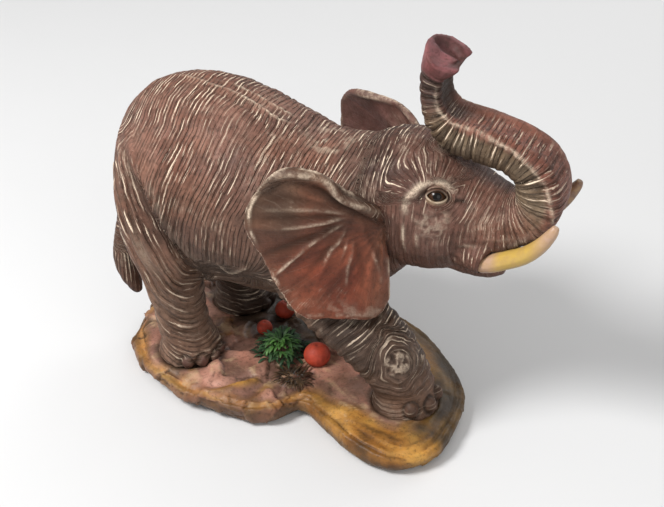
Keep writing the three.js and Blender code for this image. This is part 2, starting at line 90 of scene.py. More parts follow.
class HideSettings(bpy.types.PropertyGroup):
    """The skin of the animal"""

    grain: length("Grain", "Edge of the fine skin's faces", 0.85)
    seam: length("Seam cover", "How far each casting grows to close its glue seams", 0.35)
    wrinkle: length("Wrinkle depth", "Depth of the modelled wrinkles", 0.75)
    # painted light: the back's lighter paint stands for light falling on it from above
    back: colour("Back", "Paint on the back and rump", (0.32, 0.160, 0.112))
    flank: colour("Flank", "Paint on the flanks", (0.210, 0.105, 0.070))
    head: colour("Head", "Paint on the head", (0.225, 0.104, 0.073))
    # painted shade: the belly's darker paint stands for the shade low on the body
    belly: colour("Belly", "Paint low on the flanks and under the belly", (0.130, 0.080, 0.054))
    leg: colour("Legs", "Paint on the legs", (0.245, 0.142, 0.094))
    nail: colour("Nails", "Paint on the toenails", (0.170, 0.082, 0.062))
    # this dark colour also lays the painted shade under the body, on its far side and below the ears
    fold: colour("Folds", "Dark wash in the wrinkles", (0.030, 0.016, 0.009))
    cream: colour("Cream", "Dry-brushed paint on the ridges", (1.0, 0.80, 0.60))
    ear: colour("Ear", "Red-brown inside of the ears", (0.255, 0.062, 0.029))
    far_ear: colour("Left ear", "Mauve-brown paint on the left ear", (0.190, 0.085, 0.066))
    ear_edge: colour("Ear edge", "Grey-brown towards the ear's rim", (0.120, 0.062, 0.036))
    # this dark colour also lays the painted shadow under the near ear's rolled edge
    ear_fold: colour("Ear folds", "Dark wash in the folds of the ears", (0.050, 0.018, 0.007))
    trunk_inner: colour("Trunk inside", "Olive-cream paint inside the trunk's bend", (0.245, 0.170, 0.105))
    trunk_top: colour("Trunk outside", "Reddish paint on the trunk's outer side", (0.320, 0.130, 0.088))
    trunk_up: colour("Trunk upper part", "Dark mauve paint above the bend", (0.105, 0.054, 0.045))
    trunk_tip: colour("Trunk tip", "Pink paint at the trunk's tip", (0.33, 0.120, 0.124))


class EyeSettings(bpy.types.PropertyGroup):
    """The glass eyes and their lids"""

    opening: length("Opening", "Length of the opening between the lids", 8.4)
    height: length("Height", "Height of the opening between the lids", 4.6)
    iris: colour("Iris", "Brown of the iris", (0.055, 0.022, 0.008))
    lid: colour("Lids", "Cream paint on the lids", (0.46, 0.34, 0.22))


class TuskSettings(bpy.types.PropertyGroup):
    """The tusks"""

    ivory: colour("Ivory", "Yellow middle of a tusk", (0.58, 0.38, 0.085))
    end: colour("Ends", "Pinkish root and tip of a tusk", (0.52, 0.33, 0.23))
    # painted shade: the left tusk's tip is darkened as though it lay in shadow
    shaded_tip: colour("Shaded tip", "Dark tip of the left tusk", (0.13, 0.065, 0.05))


class BaseSettings(bpy.types.PropertyGroup):
    """The rocky base"""

    grain: length("Grain", "Edge of the base's fine faces", 1.0)
    top: colour("Top", "Mauve-brown ground", (0.53, 0.280, 0.206))
    rim: colour("Rim", "Ochre paint round the rim", (0.68, 0.37, 0.085))
    glaze: colour("Glaze", "Brown glaze over the ochre", (0.32, 0.14, 0.030))
    # this dark colour also lays the painted shade on the base
    shade: colour("Cracks", "Dark wash in the cracks", (0.026, 0.018, 0.009))
    light: colour("Lights", "Pale paint on the raised edges", (0.66, 0.46, 0.26))


class GrowthSettings(bpy.types.PropertyGroup):
    """The plant, the grass and the fruits"""

    leaves: IntProperty(name="Leaves", description="Leaves on the plant", default=340, min=8)
    blades: IntProperty(name="Blades", description="Blades in the grass tuft", default=80, min=4)
    leaf: colour("Leaf", "Dark green of the leaves", (0.014, 0.038, 0.012))
    tip: colour("Leaf tips", "Light green on the upper leaves", (0.11, 0.28, 0.045))
    grass: colour("Grass", "Dark dry grass", (0.06, 0.035, 0.018))
    fruit: colour("Fruit", "Orange-red of the fruits", (0.50, 0.055, 0.022))


class StageSettings(bpy.types.PropertyGroup):
    """Camera, floor and lights"""

    azimuth: FloatProperty(name="Azimuth", description="Camera's turn", default=22.0)
    elevation: FloatProperty(name="Elevation", description="Camera's height", default=33.0)
    distance: length("Distance", "From the camera to its target", 700)
    lens: FloatProperty(name="Lens", description="Focal length in mm on a 36 mm sensor", default=75.9)
    floor: colour("Floor", "Pale studio floor", (0.78, 0.78, 0.78))


SETTINGS = {
    "elephant_hide": HideSettings,
    "elephant_eye": EyeSettings,
    "elephant_tusk": TuskSettings,
    "elephant_base": BaseSettings,
    "elephant_growth": GrowthSettings,
    "elephant_stage": StageSettings,
}


# Numbers on meshes


def smoothstep(low, high, value):
    t = np.clip((value - low) / (high - low), 0, 1)
    return t * t * (3 - 2 * t)


def plateau(value, start, full, last, end):
    """1 from full to last, fading to 0 at start and at end."""
    return smoothstep(start, full, value) * smoothstep(end, last, value)


def bell(value, width, power=2):
    """A soft mark: 1 where the value is 0, fading out over the width. A higher power flattens its top."""
    return np.exp(-((value / width) ** power))


def mix(a, b, share):
    return a + (b - a) * share


def distance(points, place, scale=(1, 1, 1)):
    """How far each point lies from a place, with each axis scaled."""
    return np.linalg.norm((points - np.array(place)) * scale, axis=1)


def near_side(points):
    """The points, with those of the far side mirrored to the near one."""
    x, y, z = points.T
    return np.stack([x, -np.abs(y), z], axis=1)


def value_noise(q, seed=0):
    """Smooth noise from -1 to 1 at each row of q, one wave to a unit."""
    cell = np.floor(q).astype(np.int64)
    part = q - cell
    part = part * part * (3 - 2 * part)
    total = np.zeros(len(q))
    for corner in np.ndindex(2, 2, 2):
        i, j, k = (cell + corner).T
        code = (i * 73856093) ^ (j * 19349663) ^ (k * 83492791) ^ (seed * 2654435761 + 97)
        code = (code ^ (code >> 13)) * 1274126177 & 0x7FFFFFFF
        code = (code ^ (code >> 16)) & 0xFFFF
        weight = np.prod(np.where(corner, part, 1 - part), axis=1)
        total += weight * (code / 32767.5 - 1)
    return total


def layered_noise(q, layers=3, seed=0):
    """Noise with finer layers, each at twice the pitch and half the strength."""
    total = sum(value_noise(q * 2**k, seed + k) / 2**k for k in range(layers))
    return total / (2 - 0.5 ** (layers - 1))


def read(rows, key, width=1, kind=float):
    """The values under a key for each item of a mesh's list, in rows if it has several."""
    values = np.empty(len(rows) * width, dtype=kind)
    rows.foreach_get(key, values)
    return values.reshape(-1, width) if width > 1 else values


def read_points(mesh):
    return read(mesh.vertices, "co", 3) / MM


def read_normals(mesh):
    return read(mesh.vertex_normals, "vector", 3)


def read_edges(mesh):
    return read(mesh.edges, "vertices", 2, np.int64)


def write_points(mesh, points):
    mesh.vertices.foreach_set("co", (points * MM).ravel())
    mesh.update()


def spread(values, edges):
    """Each vertex's mean over its neighbours."""
    a, b = edges.T
    size = len(values)
    count = np.bincount(edges.ravel(), minlength=size)
    total = [np.bincount(a, c[b], size) + np.bincount(b, c[a], size) for c in values.T]
    return np.stack(total, axis=1) / np.maximum(count, 1)[:, None]


def relax(points, edges, rounds, strength):
    """Rounds off small facets, and keeps the volume by stepping back after each step in."""
    for _ in range(rounds):
        for pull in (0.6, -0.62):
            points = points + pull * strength[:, None] * (spread(points, edges) - points)
    return points


def soften(points, edges, rounds, strength):
    """Melts small forms into their surroundings."""
    for _ in range(rounds):
        points = points + 0.6 * strength[:, None] * (spread(points, edges) - points)
    return points


def along_path(points, path):
    """How far along a path each point lies, how far from it, and how far to the upper side of its run."""
    best = np.full(len(points), np.inf)
    run, over = np.zeros((2, len(points)))
    start = 0.0
    for a, b in zip(path[:-1], path[1:]):
        step = b - a
        size = np.linalg.norm(step)
        share = np.clip((points - a) @ step / size**2, 0, 1)
        gap = points - (a + share[:, None] * step)
        away = np.linalg.norm(gap, axis=1)
        nearer = away < best
        best = np.where(nearer, away, best)
        run = np.where(nearer, start + share * size, run)
        over = np.where(nearer, (gap[:, 2] * step[0] - gap[:, 0] * step[2]) / size, over)
        start += size
    return run, best, over


def fine_path(points, steps=6):
    """A smooth path through points."""
    rows = np.array(points, float)
    ends = np.vstack([2 * rows[0] - rows[1], rows, 2 * rows[-1] - rows[-2]])
    path = []
    for a, b, c, d in zip(ends[:-3], ends[1:-2], ends[2:-1], ends[3:]):
        bend, twist = 2 * a - 5 * b + 4 * c - d, 3 * (b - c) + d - a
        path += [0.5 * (2 * b + (c - a) * t + bend * t**2 + twist * t**3) for t in np.arange(steps) / steps]
    return np.array(path + [rows[-1]])


# Meshes and objects


def new_object(name, mesh, material=None):
    obj = bpy.data.objects.new(name, mesh)
    bpy.context.scene.collection.objects.link(obj)
    if material:
        mesh.materials.append(material)
    return obj


def mesh_of(name, points, faces):
    mesh = bpy.data.meshes.new(name)
    mesh.from_pydata((np.asarray(points) * MM).tolist(), [], faces)
    mesh.polygons.foreach_set("use_smooth", [True] * len(mesh.polygons))
    mesh.update()
    return mesh


def applied(obj):
    """The object's mesh with its modifiers applied, in a new mesh."""
    graph = bpy.context.evaluated_depsgraph_get()
    mesh = bpy.data.meshes.new_from_object(obj.evaluated_get(graph))
    bpy.data.objects.remove(obj)
    return mesh


@contextmanager
def reworked(mesh):
    """The mesh's points and faces for editing, written back afterwards."""
    work = bmesh.new()
    work.from_mesh(mesh)
    yield work
    work.to_mesh(mesh)
    work.free()


def tidy(mesh):
    """Joins points that meet and turns every face outwards."""
    with reworked(mesh) as work:
        bmesh.ops.remove_doubles(work, verts=work.verts, dist=JOIN_REACH)
        bmesh.ops.recalc_face_normals(work, faces=work.faces)
    return mesh


def remeshed(name, sources, grain, grow=0.0):
    """One closed fine mesh round the named CAD nodes, which may grow to meet each other."""
    work = bmesh.new()
    for source in sources:
        work.from_mesh(NODES[source].data)
    bmesh.ops.remove_doubles(work, verts=work.verts, dist=JOIN_REACH)
    work.normal_update()
    moved = [(v, v.co + v.normal * grow) for v in work.verts]
    for v, place in moved:
        v.co = place
    mesh = bpy.data.meshes.new(name)
    work.to_mesh(mesh)
    work.free()
    obj = new_object(name, mesh)
    voxels = obj.modifiers.new("voxels", "REMESH")
    voxels.mode = "VOXEL"
    voxels.voxel_size = grain
    return applied(obj)


def set_layers(mesh, **layers):
    """Keeps values at the mesh's vertices, under the names that the paints read."""
    for name, rows in layers.items():
        kind, key = LAYER_KINDS.get(name, ("FLOAT", "value"))
        rows = np.asarray(rows, np.float32)
        if key == "color":
            rows = np.column_stack([rows, np.ones(len(rows), np.float32)])
        mesh.attributes.new(name, kind, "POINT").data.foreach_set(key, rows.ravel())


def dress(obj, slot, *nodes):
    """Rides the object on the part's one body, in the place of its CAD nodes."""
    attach(obj, BODY)
    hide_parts(*nodes)


# Materials


class Nodes:
    """Short calls that add and link one material's nodes."""

    def __init__(self, name):
        self.material = bpy.data.materials.new(name)
        self.material.use_nodes = True
        self.tree = self.material.node_tree
        self.shader = self.tree.nodes["Principled BSDF"]

    def add(self, kind, inputs=None, **settings):
        node = self.tree.nodes.new(kind)
        for key, value in settings.items():
            setattr(node, key, value)
        for key, value in (inputs or {}).items():
            self.put(node.inputs[key], value)
        return node

    def put(self, socket, value):
        if isinstance(value, bpy.types.NodeSocket):
            self.tree.links.new(value, socket)
        elif isinstance(value, tuple) and len(value) == 3 and socket.type == "RGBA":
            socket.default_value = (*value, 1)
        else:
            socket.default_value = value

    def attribute(self, name, output="Fac"):
        return self.add("ShaderNodeAttribute", attribute_name=name).outputs[output]

    def place(self):
        return self.add("ShaderNodeTexCoord").outputs["Object"]

    def noise(self, vector, scale, detail=3.0, roughness=0.6):
        inputs = {"Vector": vector, "Scale": scale, "Detail": detail, "Roughness": roughness}
        return self.add("ShaderNodeTexNoise", inputs).outputs["Fac"]

    def maths(self, operation, a, b=0.0):
        return self.add("ShaderNodeMath", {0: a, 1: b}, operation=operation).outputs[0]

    def plus(self, a, b):
        return self.maths("ADD", a, b)

    def minus(self, a, b):
        return self.maths("SUBTRACT", a, b)

    def most(self, a, b):
        return self.maths("MAXIMUM", a, b)

    def times(self, product, *factors):
        for factor in factors:
            product = self.maths("MULTIPLY", product, factor)
        return product

    def ramp(self, value, low, high, start=0.0, end=1.0):
        inputs = {"Value": value, "From Min": low, "From Max": high, "To Min": start, "To Max": end}
        return self.add("ShaderNodeMapRange", inputs, interpolation_type="SMOOTHSTEP").outputs["Result"]

    def blend(self, share, a, b, kind="MIX"):
        node = self.add("ShaderNodeMix", data_type="RGBA", blend_type=kind)
        sockets = {socket.name: socket for socket in node.inputs if socket.enabled}
        for key, value in {"Factor": share, "A": a, "B": b}.items():
            self.put(sockets[key], value)
        return next(socket for socket in node.outputs if socket.enabled)

    def darker(self, tone, share):
        """The tone, deepened by multiplying it with itself."""
        return self.blend(share, tone, tone, "MULTIPLY")

    def bump(self, height, distance, strength=1.0):
        inputs = {"Height": height, "Distance": distance, "Strength": strength}
        return self.add("ShaderNodeBump", inputs).outputs["Normal"]

    def finish(self, base, roughness, normal, **plain):
        inputs = {"Base Color": base, "Roughness": roughness, "Normal": normal}
        for name, value in (inputs | plain).items():
            self.put(self.shader.inputs[name], value)
        return self.material


def settings(name):
    return getattr(bpy.context.scene, name)


LINE_PITCH = 2.2  # millimetres between the tooled lines of the skin
HAIR_PITCH = 0.47 * LINE_PITCH  # between the fine lines that lie among them
ROLL_PITCH = 6.2  # millimetres between the rolls of hide on the legs


def resin_paint(name, fold, cream, depth=0.55, shine=(0.45, 0.68), vivid=1.0):
    """Painted resin: base tone, dark paint run into the tooled grooves, painted shade laid in the same dark
    colour, and pale dry-brushed ridges.
    """
    n = Nodes(name)
    lines, carve, dry = n.attribute("lines"), n.attribute("carve"), n.attribute("dry")
    grain, tone = n.attribute("grain", "Vector"), n.attribute("tone", "Color")
    patches = n.noise(n.place(), 55.0)
    ragged = n.noise(n.place(), 210.0)
    flecks = n.noise(n.place(), 620.0, 5.0, 0.72)
    specks = n.noise(n.place(), 1300.0, 2.0)
    presence = n.noise(grain, 1.0, 2.0)
    fading = n.noise(grain, 1.7, 2.0)

    def tooled(pitch, jitter):
        """The groove and the crest of one set of lines."""
        turn = n.plus(n.maths("DIVIDE", lines, pitch), n.times(ragged, jitter))
        off = n.maths("ABSOLUTE", n.minus(n.maths("FRACT", turn), 0.5))
        wide = n.plus(off, n.times(n.minus(presence, 0.55), 0.5))
        return n.ramp(off, 0.04, 0.18, 1.0, 0.0), n.ramp(wide, 0.36, 0.45)

    groove, crest = tooled(LINE_PITCH, 0.35)
    hair, thread = tooled(HAIR_PITCH, 1.0)
    comb = n.ramp(thread, 0.0, 1.0, 0.3, 1.0)
    groove = n.times(groove, n.ramp(fading, 0.38, 0.56, 0.1, 1.0))
    hair = n.times(hair, n.ramp(presence, 0.5, 0.62))
    crest = n.times(crest, n.ramp(presence, 0.46, 0.6))
    thread = n.times(thread, n.ramp(fading, 0.54, 0.66))
    cut = n.times(n.most(groove, n.times(hair, 0.55)), carve)
    lights = n.times(n.most(crest, n.times(thread, 0.75)), carve)

    mottled = n.blend(n.ramp(patches, 0.3, 0.7, 0.0, 0.7), tone, n.darker(tone, 0.75))
    mottled = n.blend(n.ramp(ragged, 0.35, 0.7, 0.0, 0.4 * vivid), mottled, fold)
    mottled = n.blend(n.ramp(flecks, 0.5, 0.66, 0.0, 0.45), mottled, fold)
    # the dark colour fills the grooves and also lays the painted shade kept at the vertices
    washed = n.blend(n.most(n.times(cut, 0.72 * vivid), n.attribute("wash")), mottled, fold)

    worn = n.ramp(specks, 0.3, 0.6, 0.55, 1.0)
    dusted = n.times(lights, n.times(n.ramp(patches, 0.4, 0.6, 0.4, 1.2), dry), worn)
    streak = n.times(n.attribute("streak"), n.ramp(ragged, 0.38, 0.56, 0.25, 1.0))
    smudge = n.ramp(n.noise(n.place(), 48.0, 4.0, 0.68), 0.54, 0.66)
    smudge = n.times(smudge, n.ramp(n.noise(grain, 2.4, 2.0), 0.42, 0.58, 0.1, 1.0))
    smudge = n.times(smudge, n.times(n.maths("MINIMUM", dry, 0.9), 0.6), comb, n.minus(1.0, cut))
    for light in (streak, smudge):
        dusted = n.most(dusted, n.times(light, worn))

    height = n.minus(n.times(lights, 0.35), cut)
    for marks, rise in ((specks, 0.1), (ragged, 0.35), (flecks, -0.5)):
        height = n.plus(height, n.times(marks, rise))
    paint, rough = n.blend(dusted, washed, cream), n.ramp(specks, 0.2, 0.8, *shine)
    return n.finish(paint, rough, n.bump(height, depth * MM, 0.9), **{"Specular IOR Level": 0.3})


def satin_paint(name, mottle, shine=(0.28, 0.42), depth=0.1):
    """Smooth satin paint over the tone, with faint brush marks."""
    n = Nodes(name)
    tone = n.attribute("tone", "Color")
    marks = n.noise(n.place(), 260.0, 4.0, 0.6)
    specks = n.noise(n.place(), 1500.0, 2.0, 0.5)
    paint = n.blend(n.ramp(marks, 0.35, 0.7, 0.0, 0.5), tone, mottle)
    height = n.plus(marks, n.times(specks, 0.3))
    return n.finish(paint, n.ramp(marks, 0.3, 0.7, *shine), n.bump(height, depth * MM, 0.6))


def eye_glass(name):
    """A dark glass eye with a brown iris painted behind its gloss."""
    n = Nodes(name)
    flecks = n.noise(n.place(), 2600.0)
    tone = n.attribute("tone", "Color")
    paint = n.blend(n.ramp(flecks, 0.4, 0.65, 0.0, 0.6), tone, n.darker(tone, 0.8))
    rough = n.ramp(flecks, 0.2, 0.8, 0.16, 0.24)
    return n.finish(paint, rough, n.bump(flecks, 0.004 * MM, 0.3), **{"Specular IOR Level": 0.35})


def felt_cloth(name):
    """Short dark felt"""
    n = Nodes(name)
    fibres = n.noise(n.place(), 2200.0, 4.0, 0.75)
    clumps = n.noise(n.place(), 240.0, 2.0)
    pile = n.blend(n.ramp(fibres, 0.35, 0.7), (0.012, 0.016, 0.013), (0.045, 0.06, 0.05))
    pile = n.blend(n.ramp(clumps, 0.4, 0.7, 0.0, 0.4), pile, (0.02, 0.022, 0.02))
    rough = n.ramp(fibres, 0.3, 0.7, 0.86, 0.98)
    return n.finish(pile, rough, n.bump(fibres, 0.3 * MM), **{"Sheen Weight": 0.4})


def steel_rod(name):
    """Drawn steel, with fine scratches"""
    n = Nodes(name)
    drawn = n.add("ShaderNodeMapping", {"Vector": n.place(), "Scale": Vector((3000.0, 3000.0, 120.0))})
    scratches = n.noise(drawn.outputs["Vector"], 1.0)
    metal = n.blend(n.ramp(scratches, 0.3, 0.7), (0.36, 0.36, 0.37), (0.6, 0.6, 0.62))
    rough = n.ramp(scratches, 0.3, 0.7, 0.28, 0.5)
    return n.finish(metal, rough, n.bump(scratches, 0.02 * MM), Metallic=1.0)


# The skin's form

RUMP_X = -60.0  # behind it, the rings of the torso turn round the rump
HAUNCH = (-95.0, -29.0, 106.0)  # the corner of the rump over the hind leg, which is rounded off
POLE_HEIGHT = 126.0  # where the rings of the rump meet, at the root of the tail
FLANK_LEAN = 0.36  # how far the wrinkles lean forward for each millimetre up the flank
# The middle of the trunk from the head to its tip, as x, y and z
TRUNK_LINE = [
    (60, 0, 119), (80, 0, 117), (92, 0, 117), (102, 0, 117), (110.5, 0, 120), (116.5, 0, 127),
    (117, 0, 136.5), (112.5, 0, 146), (103, 0, 152), (91, 0, 155.5), (79, 0, 157.5), (70, 0, 161.5),
    (65, 0, 169), (63.5, 0, 178), (64.5, 0, 187), (68, 0, 194.5),
]
# The middle of the near foreleg, from the shoulder to the sole
NEAR_LEG_LINE = [(2, -20, 102), (10, -25, 82), (27, -27, 64), (44, -27, 50), (56, -26, 36), (61, -24, 14)]
EAR_ROOT = (51.0, 117.0)  # as x and z
NEAR_EYE = (72.6, -22.0, 132.5)
KNEE = (62.0, -37.0, 46.0)
CHEEK = (73.0, -26.0, 120.0)
# Rough patches of hide: place, reach, pitch of the veins, rise, and share of cream on them
ROUGH_SPOTS = [(KNEE, 8.0, 3.0, 0.7, 0.38), (CHEEK, 9.5, 2.8, 0.3, 0.25)]
HIP_CREASE = [(-46.0, 72.0), (-75.0, 130.0)]  # its lower and its upper end, as x and z
EAR_FACE = (0.486, 0.873, 0.0)  # the way the left ear faces, and the right one as its mirror
EAR_PLEATS = 22.0  # twice the bends for each radian round the ear's root
EAR_GLOW = (30.0, 0.0, 94.0)  # the middle of the red on the near ear
WITHERS = (15.0, -2.0, 140.0)  # pale crumbs of paint lie round it
NOSE = (96.0, 0.0, 124.0)
TIP_AXIS = (0.42, 0.0, 0.907)  # the way the end of the trunk points
# How far along the trunk, in millimetres: the pink tip, the dark upper part and the pale inside of the bend
TIP_RUN = (149, 156)
UP_RUN = (128, 142)
INNER_RUN = (50, 66, 128, 146)
TAIL_SET = 5.0  # how far the upper tail is set towards the rump
HAUNCH_SET = 2.6  # how far the rump's corner is set in
EAR_SET = 4.6  # how far the lower part of an ear is set out
LINE_HEADING = np.array([0.36, 0.22, 0.905])  # how the noise on the lines drifts from one to the next
WARMTH = np.array((0.16, 0.02, -0.12))  # how the hide's tone wanders between warm and cold
TOE_ROW = (16.6, 15.2)  # from a foot's middle to its toes, along and across
CAST_TOE_HEIGHT = 18.6
NAIL_GROOVE = 0.9  # from a nail's edge to the middle of its groove
REAR_NAILS = (15.8, 2.9, 1.5)  # height, radius and rise of a nail
FORE_NAILS = (18.6, 3.3, 0.2)
CAST_TURNS = (-58.5, -19.5, 19.5, 58.5)  # degrees of a foot's toes from straight ahead
# The middle of each foot, the turns of its nails, and the nails; the hind feet come first
FEET = [
    ((-57, -26), (-68.0, -41.0, -14.0, 13.0), REAR_NAILS),
    ((-51, 26), (68.0, 41.0, 14.0, -13.0), REAR_NAILS),
    ((61, -24), CAST_TURNS, FORE_NAILS),
    ((18, 26), CAST_TURNS, FORE_NAILS),
]
# The ridge along the near side of the trunk, from its tip down to the mouth
TRUNK_RIDGE = [
    (67, -10, 180), (67, -10, 174), (68, -10, 170), (72, -11, 166.5), (76, -11, 164.5), (82, -11, 163.5),
    (88, -11, 162.5), (95, -12, 160.5), (103, -13, 158), (107, -13, 155.5), (112, -13, 152), (116, -13, 148),
    (120, -13, 144), (122, -14, 139), (124, -14, 132), (125, -13, 126),
]

# Folds that are cut or raised, listed one by one: points in millimetres, width, rise, and how much
# cream paint (over 0) or dark paint (under 0) they take; the dark paint fills the crease, and is
# painted shadow where it is marked so. The flank's and the head's are mirrored to the far side.
SPINE_FOLDS = [
    ([(-72, 4, 156), (-50, -2, 157), (-36, -3, 155), (-22, -4, 151), (-12, -5, 147),
      (-2, -2, 144)], 1.1, 0.8, 0.95),
    ([(-62, -7, 156), (-45, -8, 156), (-30, -9, 153), (-16, -10, 148)], 1.4, -0.7, -0.4),
    ([(-50, 3, 157), (-35, 3, 155), (-25, 3, 152), (-15, 3, 148), (-5, 3, 144)], 1.1, 0.6, 0.7),
]
FLANK_FOLDS = [
    ([(-86, -20, 134), (-79, -34, 122), (-70, -41, 110), (-63, -42, 98), (-54, -41, 87),
      (-46, -39, 76)], 3.4, -2.8, -0.7),
    ([(-88, -18, 128), (-84, -28, 112), (-78, -36, 96), (-69, -41, 80), (-58, -40, 66)], 5.0, 1.6, 0.2),
    ([(-90, -14, 116), (-85, -26, 102), (-79, -34, 88), (-70, -39, 72), (-60, -38, 60)], 2.4, -1.4, -0.55),
    ([(-66, -38, 124), (-59, -44, 110), (-54, -46, 98), (-48, -44, 86), (-38, -40, 78)], 4.2, 1.2, 0.1),
    ([(-31, -41, 83), (-28, -40, 80), (-25, -39, 77), (-19, -40, 80.5), (-12, -41, 86)], 1.0, 0.5, 0.5),
    # painted shadow in the gap between the hind leg and the belly
    ([(-52, -27, 62), (-46, -29, 64), (-40, -30, 66), (-34, -31, 68)], 3.2, 3.3, -0.85),
    # painted shadow on the body under the near ear's lower edge
    ([(18, -47, 66), (25, -44, 66.5), (30, -42, 66.5), (35, -41, 66), (41, -39, 66),
      (50, -34, 69)], 4.2, -3.4, -0.85),
    ([(8, -37, 76), (20, -40, 72), (33, -41, 68), (44, -40, 64)], 1.6, 0.6, 0.5),
]
HEAD_FOLDS = [
    ([(60, -29, 123), (60.5, -29, 127), (61, -28, 131), (63, -26.5, 134.5), (66, -23.5, 137.5),
      (71, -20, 138.5), (76, -18, 137), (82, -17, 132)], 2.4, 1.3, 0.75),
    ([(65.5, -27, 129.5), (67, -26, 133.5), (70, -23.5, 136), (74, -21, 136),
      (79, -19.5, 132.5)], 1.1, -1.1, -0.9),
    ([(78, -20.5, 131.5), (82, -18.5, 130.5), (86, -17, 130)], 1.0, -0.9, -0.85),
    ([(63, -28, 127), (67, -27.5, 124.5), (73, -26, 124), (79, -22, 127)], 1.2, -0.7, -0.5),
    ([(62, -29, 124), (68, -28, 121), (74, -26, 121), (80, -22.5, 124.5)], 1.3, 0.5, 0.25),
    ([(95, -18, 107), (98, -16, 107), (101, -14, 107), (104, -15, 108.5), (107, -15, 110), (110, -15, 112),
      (113, -15, 114), (118, -13.5, 116.5), (122, -12, 119)], 2.5, 2.2, -0.75),
    ([(93, -20, 110), (97, -17, 112.5), (103, -16, 113), (110, -16, 116)], 1.6, 0.7, 0.1),
    ([(84, -21, 108), (88, -20, 108), (91, -19, 108), (95, -18, 109)], 1.3, 0.5, 0.7),
    ([(82, -20, 101), (88, -19, 96), (94, -17, 91)], 2.0, -0.9, -0.4),
    ([(57, -30, 120), (57, -29, 110), (59, -26, 99)], 1.3, -0.8, -0.4),
    ([(60, -30, 121), (60, -29, 109), (62, -26, 95)], 0.9, 0.6, 0.75),
    ([(63, -30, 117), (63, -29, 108), (65, -26, 97)], 1.1, -0.7, -0.4),
    ([(66, -29, 117), (66.5, -28, 106), (68, -25, 94)], 0.9, 0.6, 0.75),
    ([(71, -28, 114), (72, -26, 105), (74, -23, 97)], 1.2, -0.7, -0.35),
    ([(75, -27, 114), (75.5, -25, 105), (78, -21, 94)], 0.9, 0.6, 0.7),
    ([(80, -25, 112), (81, -23, 104), (83, -20, 98)], 1.0, -0.5, -0.3),
]
NEAR_EAR_FOLDS = [
    ([(52, -30, 122), (43, -40, 130), (35, -45, 135), (27, -46, 144), (11, -51, 146),
      (2, -55, 141)], 2.3, 2.2, 0.5),
    # painted shadow under the near ear's rolled upper edge
    ([(49, -33, 121), (42, -40, 126.5), (36, -44, 131), (28, -47, 137), (19, -51, 140)], 2.8, -2.2, -0.85),
    ([(20, -50, 146), (8, -53, 144), (0, -58, 136), (-3, -60, 126), (0, -58, 108), (8, -53, 88),
      (20, -48, 71), (30, -43, 68), (39, -39, 67), (48, -34, 70), (54, -32, 80)], 1.3, 0.7, 1.0),
    ([(40, -41, 126), (28, -48, 129), (19, -52, 130), (8, -56, 130), (-2, -59, 129)], 1.6, 1.1, 0.25),
    ([(39, -41, 125), (28, -48, 123), (13, -55, 121), (-4, -60, 121)], 1.3, 1.2, 0.45),
    ([(38, -42, 123), (28, -47, 116), (19, -51, 108), (4, -55, 90)], 1.3, 1.7, 0.6),
    ([(38, -42, 121), (34, -44, 112), (29, -47, 103), (19, -49, 72)], 1.3, 1.7, 0.6),
    ([(39, -42, 118), (36, -43, 106), (30, -46, 90), (23, -48, 76)], 1.0, 0.7, 0.45),
    ([(41, -41, 118), (40, -42, 106), (38, -43, 98), (37, -42, 84)], 1.4, 0.8, 0.25),
    ([(43, -39, 122), (47, -38, 110), (51, -36, 96), (52, -36, 86)], 1.4, 1.0, 0.3),
    ([(36, -43, 128), (19, -52, 134), (2, -57, 134)], 2.4, -1.0, -0.6),
    ([(37, -43, 124.5), (20, -52, 126), (-2, -59, 124.5)], 1.7, -1.1, -0.75),
    ([(37, -43, 122), (22, -50, 115), (6, -56, 106), (-1, -57, 100)], 2.6, -1.4, -0.8),
    ([(38, -42, 118), (29, -47, 106), (16, -51, 88), (9, -52, 80)], 2.0, -1.1, -0.55),
    ([(41, -41, 116), (44, -40, 100), (45, -38, 80)], 2.2, -0.9, -0.5),
    ([(45, -38, 118), (50, -36, 106), (54, -33, 96)], 1.6, -0.8, -0.6),
]
EAR_ROLL = NEAR_EAR_FOLDS[0][0]  # the rolled upper edge of the near ear
FAR_EAR_FOLDS = [
    ([(48, 31, 132), (38, 36, 139), (27, 41, 141), (14, 47, 140), (3, 52, 138)], 2.0, 1.4, 0.5),
    ([(3, 52, 138), (-5, 56, 128), (-5, 57, 116), (-1, 55, 104), (12, 50, 79)], 1.4, 0.7, 0.6),
]


